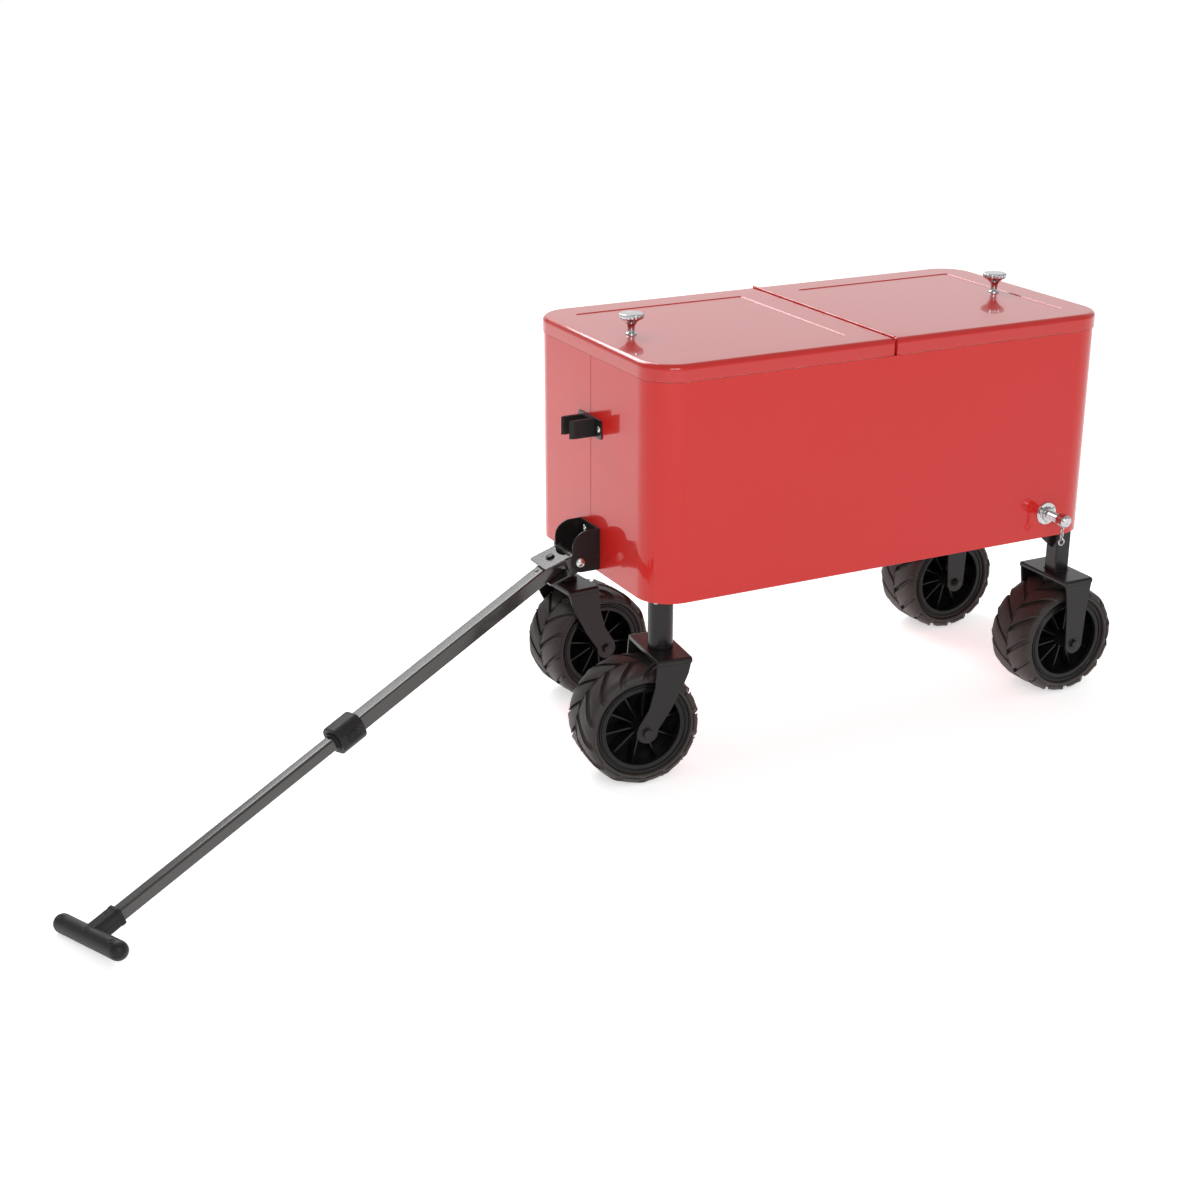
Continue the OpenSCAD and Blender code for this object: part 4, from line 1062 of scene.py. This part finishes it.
@dataclass
class Wheel:
    """A ribbed plastic rim with a chevron-tread tyre, turned about Y."""

    name: str
    tread: Tread
    radius: float = 0.100
    half: float = 0.051
    bead: float = 0.080
    rim_half: float = 0.046
    ring: float = 0.064
    hub: float = 0.015
    hub_half: float = 0.060
    ribs: int = 10
    lugs: int = 14
    groove: float = 0.0088
    slope: float = 0.85
    carcass: float = 0.0945

    def rim(self, place: Matrix) -> None:
        """Build the rim."""
        edge, ring, bead = self.rim_half, self.ring, self.bead
        side = [(bead, edge - 0.002), (bead - 0.001, edge - 0.0012), (ring + 0.0082, edge - 0.0015),
                (ring + 0.0072, edge - 0.0002), (ring + 0.0065, edge), (ring + 0.0018, edge),
                (ring + 0.0005, edge - 0.0006), (ring, edge - 0.002), (ring, edge - 0.008),
                (ring + 0.005, edge - 0.011),
                (bead - 0.0045, edge - 0.014), (bead - 0.0045, 0.003)]
        barrel = Shape.lathe(both_sides(side), 96, closed=True)
        web = Shape.lathe([(self.hub - 0.002, 0.0022), (bead - 0.004, 0.0022), (bead - 0.004, -0.0022),
                           (self.hub - 0.002, -0.0022)], 96, closed=True)
        bore, h = 0.00505, self.hub_half
        core = [(bore, h), (self.hub - 0.003, h), (self.hub - 0.0015, h - 0.0015),
                (self.hub - 0.001, 0.034),
                (self.hub + 0.001, 0.031), (self.hub + 0.002, 0.0)]
        hub = Shape.lathe(core + [(r, -z) for r, z in reversed(core[:-1])], 48, closed=True)
        rib = Shape.prism([(self.hub - 0.002, -0.031), (self.hub - 0.002, 0.031),
                           (self.hub + 0.012, 0.030),
                           (bead - 0.010, 0.026), (bead - 0.004, 0.029), (bead - 0.004, -0.029),
                           (bead - 0.010, -0.026), (self.hub + 0.012, -0.030)], -0.0016, 0.0016)
        ribs = rib.bevel(0.0006, 2).place(turn(90, "X")).repeat(self.ribs, 9.0)
        ledge = Shape.lathe([(ring + 0.0095, edge + 0.0001), (ring + 0.0100, edge + 0.0007),
                             (ring + 0.0112, edge + 0.0007),
                             (ring + 0.0117, edge + 0.0001), (ring + 0.0106, edge - 0.0006)], 96,
                             closed=True)
        barrel.join(web, hub, ribs, ledge, ledge.mirrored(2))
        barrel.place(place @ turn(90, "X")).piece(f"rim_{self.name}_ribbed", RIM_PLASTIC,
                                                  f"wheel_{self.name}",
                                                  f"rim_{self.name}", smooth=40)

    def lug(self, flip: float) -> Shape:
        """Return one lug of the tread on the +Z half, its chevron arm leaning by the slope."""
        low = [(0.0003, self.carcass - 0.001), (0.020, self.carcass - 0.001), (0.034, 0.0930),
               (0.041, 0.0915),
               (0.0460, 0.0885), (0.0482, 0.0860)]
        high = [(0.0003, self.radius), (0.020, 0.0998), (0.034, 0.0988), (0.0435, 0.0966),
                (0.0500, 0.0925), (0.0510, 0.0870)]
        lug = Shape()
        bmesh.ops.create_grid(lug.bm, x_segments=4, y_segments=9, size=0.5)
        top = only_verts(bmesh.ops.extrude_face_region(lug.bm, geom=lug.bm.faces[:])["geom"])
        bmesh.ops.translate(lug.bm, verts=top, vec=(0, 0, 1))
        bmesh.ops.recalc_face_normals(lug.bm, faces=lug.bm.faces)
        pitch = 2 * math.pi * self.radius / self.lugs
        for vert in lug.bm.verts:
            u, v, w = vert.co.x, vert.co.y + 0.5, vert.co.z
            (za, ra), (zb, rb) = along(low, v), along(high, v)
            z, r = za + (zb - za) * w, ra + (rb - ra) * w
            width = pitch - self.groove - 0.0016 * w
            angle = (u * width + self.slope * z * flip) / self.radius
            vert.co = (r * math.cos(angle), r * math.sin(angle), z)
        lug.bevel(0.0014, 2, angle=40)
        for vert in lug.bm.verts:
            trim = min(1.0, self.radius / math.hypot(vert.co.x, vert.co.y))
            vert.co = (vert.co.x * trim, vert.co.y * trim, min(vert.co.z, self.half))
        return lug

    def tyre(self, place: Matrix) -> None:
        """Build the tyre."""
        c, h = self.carcass, self.half
        side = [(self.bead, self.rim_half - 0.003), (self.bead + 0.0004, h - 0.0030),
                (self.bead + 0.0018, h - 0.0012),
                (self.bead + 0.0040, h - 0.0008), (0.0874, h - 0.0020), (0.0912, h - 0.0054),
                (0.0932, h - 0.0110),
                (c - 0.0006, h - 0.020), (c, h - 0.032)]
        tyre = Shape.lathe(both_sides(side), 112, closed=True)
        flip = float(self.tread.value)
        lugs = self.lug(flip).repeat(self.lugs)
        others = self.lug(flip).repeat(self.lugs, 180.0 / self.lugs).mirrored(2)
        tyre.join(lugs, others)
        tyre.place(place @ turn(90, "X")).piece(f"tyre_{self.name}_chevron", TYRE, f"wheel_{self.name}",
                                                f"tyre_{self.name}", smooth=38)

    def build(self, place: Matrix) -> None:
        """Build the wheel at its place."""
        self.rim(place)
        self.tyre(place)


# ---- the pull handle ----
@dataclass
class PullHandle:
    """The yoke, the telescopic tubes, the collar and the T-grip."""

    pivot: Vec = (-0.471, 0.0, 0.024)
    floor: float = -0.306
    yaw_off: float = 0.035
    yaw_rest: float = 19.8
    length: float = 0.974
    outer: float = 0.025
    inner: float = 0.020
    wall: float = 0.0015
    collar_at: float = 0.482
    collar_length: float = 0.048
    collar_width: float = 0.044
    grip_radius: float = 0.0145
    grip_length: float = 0.170
    stem: float = 0.036
    yoke_half: float = 0.031
    yoke_gap: float = 0.013
    yoke_plate: float = 0.0035

    @property
    def pitch(self) -> float:
        """Pitch at rest in degrees, with the grip's near end on the floor."""
        yaw = math.radians(self.yaw_rest)
        reach = (self.yaw_off + self.length * math.cos(yaw)
                 + (self.grip_length / 2 - self.grip_radius) * math.sin(yaw))
        return math.degrees(math.asin((self.pivot[2] - self.floor - self.grip_radius) / reach))

    @property
    def yoke_place(self) -> Matrix:
        """Place of the yoke's frame."""
        return Matrix.Translation(self.pivot) @ turn(180, "Z") @ turn(self.pitch, "Y")

    @property
    def tube_place(self) -> Matrix:
        """Place of the tubes' frame."""
        return self.yoke_place @ move(self.yaw_off) @ turn(self.yaw_rest, "Z")

    def yoke(self) -> None:
        """Build the yoke's plates, cheeks and barrel, and the bolt that the handle turns on."""
        half, gap, plate = self.yoke_half, self.yoke_gap, self.yoke_plate
        back, end = 0.012, 0.060
        hollow = [(x - 0.014, y) for x, y in arc(0, 0, 0.034, 65.7, -65.7, 18)]
        outline = [(end - 0.003, -half), (end, -half + 0.003), (end, half - 0.003),
                   (end - 0.003, half), (back, half)]
        outline += [p for p in hollow if p[0] > back] + [(back, -half)]
        made = Shape.rod(0.009, -half, half, 32).bevel(0.0008, 2).place(turn(90, "X"))
        for side in (1, -1):
            plate_shape = Shape.prism(outline, gap, gap + plate).bevel(0.0007, 2)
            made.join(plate_shape if side > 0 else plate_shape.mirrored(2))
            low, high = (half - 0.003, half) if side > 0 else (-half, -half + 0.003)
            made.join(Shape.box((0, low, -gap - plate),
                                (back + 0.010, high, gap + plate)).bevel(0.0006, 2))
        made.place(self.yoke_place).piece("yoke_plates", TUBE_STEEL, "yoke", "yoke", smooth=45)
        top = gap + plate
        bolt = Fastener(0.004, 2 * top, 0.0068, 0.0042).hexagon().place(move(z=top))
        nut = Fastener(0.004, 0, 0.0068, 0.0058).nut().place(move(z=-top) @ turn(180, "X"))
        bolt.join(nut).place(self.yoke_place @ move(self.yaw_off)).piece("yoke_turning_bolt",
                                                                         BLACK_BOLT, "yoke",
                                                                        "yaw_bolt")

    def _tube(self, width: float, start: float, end: float, rounding: float) -> Shape:
        """Return a square tube along X with rounded long edges and open ends."""
        tube = Shape.box((start, -width / 2, -width / 2), (end, width / 2, width / 2))
        tube.bevel(rounding, 4, where=runs_along(0, 0.05))
        bmesh.ops.delete(tube.bm, geom=[f for f in tube.bm.faces if abs(f.normal.x) > 0.9],
                         context="FACES")
        return tube.shell(self.wall)

    def tubes(self) -> None:
        """Build the outer tube with its end plug and rivet, and the inner tube."""
        outer_end = self.collar_at + 0.008
        half = self.outer / 2
        outer = self._tube(self.outer, -0.012, outer_end, 0.0026)
        rivet = Fastener(0.0018, 0.001, 0.0036, 0.0016).dome().place(move(0.036, 0, half))
        plug = Shape.box((-0.0135, -half + 0.0016, -half + 0.0016),
                         (-0.009, half - 0.0016, half - 0.0016)).bevel(0.0008, 2)
        outer.join(rivet, plug).place(self.tube_place).piece("outer_tube_square", TUBE_STEEL, "handle",
                                                             "outer_tube")
        inner = self._tube(self.inner, outer_end - 0.060, self.length, 0.0036)
        inner.place(self.tube_place).piece("inner_tube_square", TUBE_STEEL, "drawbar", "inner_tube")

    def collar(self) -> None:
        """Build the moulded collar and its oval button."""
        half, cut = self.collar_width / 2, 0.010
        outline = [(half, -half + cut), (half, half - cut), (half - cut, half), (-half + cut, half),
                   (-half, half - cut), (-half, -half + cut), (-half + cut, -half), (half - cut, -half)]
        at, length = self.collar_at, self.collar_length
        body = Shape.prism(outline, -length / 2, length / 2)
        body.bevel(0.005, 4, angle=30, where=runs_along(2))
        body.bevel(0.0022, 3, angle=60)
        lip = Shape.prism([(x * 0.66, y * 0.66) for x, y in outline], length / 2 - 0.002,
                          length / 2 + 0.0035)
        lip.bevel(0.001, 2)
        body.join(lip)
        bezel = Shape.ring(0.0088, 0.0011, 40, 8).place(Matrix.Diagonal((1.75, 1.0, 1.0, 1.0)))
        body.place(move(at) @ turn(90, "Y"))
        bezel.place(move(at) @ turn(-90, "X") @ move(z=half - 0.0003))
        body.join(bezel).place(self.tube_place).piece("collar_moulded", BLACK_PLASTIC, "handle",
                                                      "collar", smooth=42)
        button = Shape.prism(arc(0.004, 0, 0.0075, -90, 90, 12) + arc(-0.004, 0, 0.0075, 90, 270, 12),
                             self.outer / 2 + 0.005, half + 0.0012).bevel(0.0008, 2)
        for i in range(-3, 4):
            ridge = Shape.box((i * 0.0027 - 0.0006, -0.0052, half + 0.0008),
                              (i * 0.0027 + 0.0006, 0.0052, half + 0.0019)).bevel(0.0004, 2)
            button.join(ridge)
        button.place(self.tube_place @ move(at) @ turn(-90, "X")).piece(
            "collar_release_button", BLACK_PLASTIC, "button", "collar_button")

    def grip(self) -> None:
        """Build the two halves of the grip and their screws."""
        r, end = self.grip_radius, self.grip_length / 2 - self.grip_radius
        profile = ([(0.0, -end - r)] + arc(0, -end, r, -80, 0, 8) + [(r - 0.0002, -0.05), (r, 0.0),
                                                                     (r - 0.0002, 0.05)]
                   + arc(0, end, r, 0, 80, 8) + [(0.0, end + r)])
        bar = Shape.lathe(profile, 48).place(turn(-90, "X"))
        stem_half = self.inner / 2 + 0.006
        section = [(stem_half - 0.005, -stem_half), (stem_half, -stem_half + 0.005),
                   (stem_half, stem_half - 0.005),
                   (stem_half - 0.005, stem_half), (-stem_half + 0.005, stem_half),
                   (-stem_half, stem_half - 0.005),
                   (-stem_half, -stem_half + 0.005), (-stem_half + 0.005, -stem_half)]
        stem = Shape.prism([(x * 0.84, y * 0.84) for x, y in section], -r - self.stem,
                           -r * 0.3).bevel(0.001, 2)
        mouth = Shape.prism([(x * 0.88, y * 0.88) for x, y in section], -r - self.stem,
                            -r - self.stem + 0.007)
        stem.join(mouth.bevel(0.0012, 2)).place(turn(90, "Y"))
        whole = bar.join(stem)
        for sign, half in ((1, "upper"), (-1, "lower")):
            part = whole.copy().cut(sign * 0.00018, above=sign < 0)
            part.bevel(0.0005, 1, angle=75, where=lambda e: all(abs(v.co.z) < 0.0003 for v in e.verts))
            part.place(self.tube_place @ move(self.length))
            part.piece(f"grip_{half}_shell", BLACK_PLASTIC, "drawbar", f"grip_{half}", smooth=40)
        whole.bm.free()
        screws = Shape()
        for x, y, z in ((0, -self.grip_length / 2 + 0.021, r), (0, self.grip_length / 2 - 0.021, r), (0, 0, r),
                        (-self.stem * 0.75 - r * 0.5, 0, stem_half * 0.84)):
            well = Shape.lathe([(0.0034, 0.0002), (0.0042, 0.0003), (0.0046, 0.0), (0.0046, -0.003),
                                (0.0034, -0.003)],
                               24, closed=True)
            well.join(Fastener(0.0015, 0.003, 0.0032, 0.0010).cross().place(move(z=-0.0014)))
            screws.join(well.place(move(x, y, z)))
        screws.place(self.tube_place @ move(self.length)).piece("grip_cross_screws", BLACK_BOLT,
                                                                "drawbar",
                                                               "grip_screws")

    def build(self) -> None:
        """Build the pull handle."""
        self.yoke()
        self.tubes()
        self.collar()
        self.grip()


# ---- the drain ----
@dataclass
class Drain:
    """The drain's flange, pipe, cap and chain."""

    x: float = 0.337
    z: float = 0.044
    wall: float = -0.220
    pipe: float = 0.008
    flange: float = 0.020
    out: float = 0.050
    cap_length: float = 0.016

    @property
    def place(self) -> Matrix:
        """Frame with +Z along the pipe, out of the wall."""
        return move(self.x, self.wall, self.z) @ turn(90, "X")

    def spout(self) -> None:
        """Build the flange and the threaded pipe."""
        r, f = self.pipe, self.flange
        profile = [(r - 0.0025, -0.039), (r, -0.039), (r, 0), (f, 0), (f, 0.0016),
                   (f - 0.0008, 0.0026), (f - 0.004, 0.003),
                   (r + 0.005, 0.0032), (r + 0.0042, 0.0042), (r + 0.004, 0.009), (r + 0.003, 0.0098),
                   (r, 0.0100)]
        z = 0.0115
        while z < self.out - 0.003:
            profile += [(r - 0.0007, z), (r, z + 0.0006), (r, z + 0.0009), (r - 0.0007, z + 0.0015)]
            z += 0.0018
        profile += [(r, self.out - 0.001), (r - 0.0006, self.out), (r - 0.0025, self.out)]
        spout = Shape.lathe(profile, 56, closed=True)
        spout.join(Shape.rod(r + 0.005, 0.0035, 0.0082, 6).bevel(0.0006, 2))
        spout.place(self.place).piece("drain_flange_and_pipe", CHROME, "root", "drain_spout")
        screws = Shape()
        for angle in (90, 210, 330):
            spot = turn(-angle, "Z") @ move(self.flange - 0.005, 0, 0.003)
            screws.join(Fastener(0.0017, 0.003, 0.0031, 0.0018).cross().place(spot))
        screws.place(self.place).piece("drain_cross_screws", ZINC, "root", "drain_screws")

    def cap(self) -> None:
        """Build the knurled cap with its eyelet, and the chain."""
        r, length = self.pipe + 0.003, self.cap_length
        inner = self.pipe + 0.0003
        profile = [(0, 0.0062), (0.003, 0.0064), (0.0045, 0.0070), (r - 0.0036, 0.0068),
                   (r - 0.0022, 0.0055),
                   (r - 0.001, 0.0040), (r - 0.0004, 0.0034), (r - 0.0004, 0.004 - length),
                   (inner, 0.004 - length),
                   (inner, 0.0005), (0, 0.0005)]
        cap = Shape.lathe(profile, 56)
        knurl = Shape.box((r - 0.0009, -0.0006, 0.0046 - length), (r, 0.0006, 0.0030)).bevel(0.0003, 1)
        cap.join(knurl.repeat(28), Shape.ring(r - 0.0003, 0.0005, 56, 8).place(move(z=0.0036)))
        eyelet = Shape.ring(0.0022, 0.0008, 24, 8).place(move(0, -r - 0.0018, -0.004) @ turn(90, "Y"))
        cap.join(eyelet)
        cap.place(self.place @ move(z=self.out)).piece("drain_knurled_cap", CHROME, "cap", "drain_cap")
        wire, link = 0.0010, 0.0036
        gap = 2 * wire + 0.0002
        top = -r - 0.0018 - 0.0022 - link + gap
        chain = Shape()
        for i in range(4):
            oval = Shape.ring(link, wire, 24, 8).place(Matrix.Diagonal((0.72, 1.0, 1.0, 1.0)))
            oval.place(move(0, top - i * (2 * link - gap), 0) @ turn(0 if i % 2 == 0 else 90, "Y"))
            chain.join(oval)
        low = top - 3 * (2 * link - gap) - link - 0.0056 + gap
        chain.join(Shape.ring(0.0056, wire + 0.0001, 32, 8).place(move(0, low, 0)))
        chain.place(self.place @ move(z=self.out - 0.004)).piece("drain_cap_chain", CHROME, "cap",
                                                                 "drain_chain")

    def build(self) -> None:
        """Build the drain."""
        self.spout()
        self.cap()


# ---- CAD nodes that stay ----
KEPT: dict[str, Finish] = {
    "bottom_pan": RED_BODY, "foam_insulation": FOAM, "center_rail": RED_BODY, "hinge_pin": ZINC,
    "left_lid_liner": WHITE_LINER, "left_lid_gasket": SEAL, "left_hinge_leaf": RED_LID_PAINTED_SHADE,
    "right_lid_liner": WHITE_LINER, "right_lid_gasket": SEAL, "right_hinge_leaf": RED_LID_PAINTED_SHADE,
}


def dress_kept_nodes(nodes: dict[str, bpy.types.Object]) -> None:
    """Give the CAD nodes whose shape is already right their finishes.

    Args:
        nodes: The CAD nodes by name.
    """
    for name, finish in KEPT.items():
        node = nodes[name]
        node.data.materials.clear()
        node.data.materials.append(finish.material())
        LOG.info("%s keeps its CAD shape", name)


# ---- the studio ----
@dataclass
class Studio:
    """A pale floor, soft light and the camera."""

    floor: float = -0.306
    floor_half: float = 40.0
    wall_radius: float = 38.0
    wall_height: float = 30.0
    glow: float = 0.55
    sky: float = 0.5
    lens: float = 58.957
    yaw: float = 26.888
    pitch: float = 20.898
    roll: float = 0.095
    eye: Vec = (-1.814751, -2.755684, 1.116808)

    def camera(self) -> None:
        """Make the camera and set it as the scene's own."""
        data = bpy.data.cameras.new("studio_camera")
        data.lens = self.lens
        data.sensor_width = 36.0
        data.clip_end = 200.0
        camera = bpy.data.objects.new("studio_camera", data)
        bpy.context.scene.collection.objects.link(camera)
        yaw, pitch, roll = (math.radians(a) for a in (self.yaw, self.pitch, self.roll))
        ahead = Vector((math.sin(yaw) * math.cos(pitch), math.cos(yaw) * math.cos(pitch),
                        -math.sin(pitch)))
        right = Vector((math.cos(yaw), -math.sin(yaw), 0.0))
        up = right.cross(ahead)
        right_rolled = right * math.cos(roll) + up * math.sin(roll)
        up_rolled = right_rolled.cross(ahead)
        turned = Matrix((right_rolled, up_rolled, -ahead)).transposed().to_4x4()
        camera.matrix_world = Matrix.Translation(self.eye) @ turned
        bpy.context.scene.camera = camera

    def scenery(self, name: str, bm: bmesh.types.BMesh, finish: Finish, glow: float) -> bpy.types.Object:
        """Turn a mesh into a glowing white part of the studio.

        Args:
            name: Name of the object.
            bm: The mesh, freed here.
            finish: Its finish.
            glow: Strength of its own light.

        Returns:
            The object.
        """
        mesh = bpy.data.meshes.new(name)
        bm.to_mesh(mesh)
        bm.free()
        mesh.materials.append(finish.material())
        shader = mesh.materials[0].node_tree.nodes["Principled BSDF"]
        shader.inputs["Emission Color"].default_value = (1.0, 1.0, 1.0, 1.0)
        shader.inputs["Emission Strength"].default_value = glow
        made = bpy.data.objects.new(name, mesh)
        bpy.context.scene.collection.objects.link(made)
        return made

    def ground(self) -> None:
        """Lay the pale floor."""
        bm = bmesh.new()
        bmesh.ops.create_grid(bm, x_segments=2, y_segments=2, size=self.floor_half,
                              matrix=move(z=self.floor - 0.0002))
        pale = Finish("pale_floor", "red_body", (0.92, 0.92, 0.92), (0.90, 0.90, 0.90), 0.9,
                      specular=0.1, blotch_scale=0.5, grain_scale=60.0, grain_strength=0.02)
        self.scenery("studio_floor", bm, pale, self.glow)

    def backdrop(self) -> None:
        """Stand a white wall round the floor's edge, which lights nothing and shows in no gloss."""
        bm = bmesh.new()
        bmesh.ops.create_circle(bm, segments=64, radius=self.wall_radius,
                                matrix=move(z=self.floor - 1.0))
        raised = only_verts(bmesh.ops.extrude_edge_only(bm, edges=bm.edges[:])["geom"])
        bmesh.ops.translate(bm, verts=raised, vec=(0, 0, self.wall_height))
        white = Finish("white_backdrop", "red_body", (0.9, 0.9, 0.9), (0.88, 0.88, 0.88), 0.9)
        wall = self.scenery("studio_backdrop", bm, white, 1.0)
        wall.visible_diffuse = wall.visible_glossy = False
        wall.visible_shadow = wall.visible_transmission = False

    def light(self, name: str, spot: Vec, aim: Vec, size: Point, power: float) -> None:
        """Hang a softbox.

        Args:
            name: Name of the light.
            spot: Where it hangs.
            aim: Point that it faces.
            size: Its width and height.
            power: Its power in watts.
        """
        data = bpy.data.lights.new(name, "AREA")
        data.shape = "RECTANGLE"
        data.size, data.size_y = size
        data.energy = power
        lamp = bpy.data.objects.new(name, data)
        lamp.matrix_world = (Matrix.Translation(spot)
                             @ (Vector(aim) - Vector(spot)).to_track_quat("-Z",
                                                                          "Y").to_matrix().to_4x4())
        bpy.context.scene.collection.objects.link(lamp)

    def build(self) -> None:
        """Set up the studio."""
        self.camera()
        self.ground()
        self.backdrop()
        world = bpy.data.worlds.new("studio_white")
        bpy.context.scene.world = world
        world.use_nodes = True
        world.node_tree.nodes["Background"].inputs["Color"].default_value = (1.0, 1.0, 1.0, 1.0)
        world.node_tree.nodes["Background"].inputs["Strength"].default_value = self.sky
        self.light("back_softbox", (1.8, 3.4, 1.9), (0, 0, 0.3), (7.0, 3.0), 30.0)
        self.light("tube_softbox", (-0.6, 2.4, 2.36), (-0.9, -0.15, -0.1), (2.2, 1.3), 55.0)
        self.light("key_softbox", (-1.4, -3.8, 2.2), (0, 0, 0.1), (2.0, 2.0), 55.0)
        view = bpy.context.scene.view_settings
        view.view_transform = "Standard"
        view.look = "None"


def main() -> None:
    """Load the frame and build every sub-assembly in order."""
    logging.basicConfig(level=logging.INFO, format="%(name)s %(message)s")
    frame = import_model()
    Studio().build()
    Cooler().build()
    Lid("left_lid", mirrored=False).build(frame["nodes"])
    Lid("right_lid", mirrored=True).build(frame["nodes"])
    HandleClip().build()
    HandleBracket().build()
    Undercarriage().build()
    PullHandle().build()
    Drain().build()
    dress_kept_nodes(frame["nodes"])


if __name__ == "__main__":
    main()
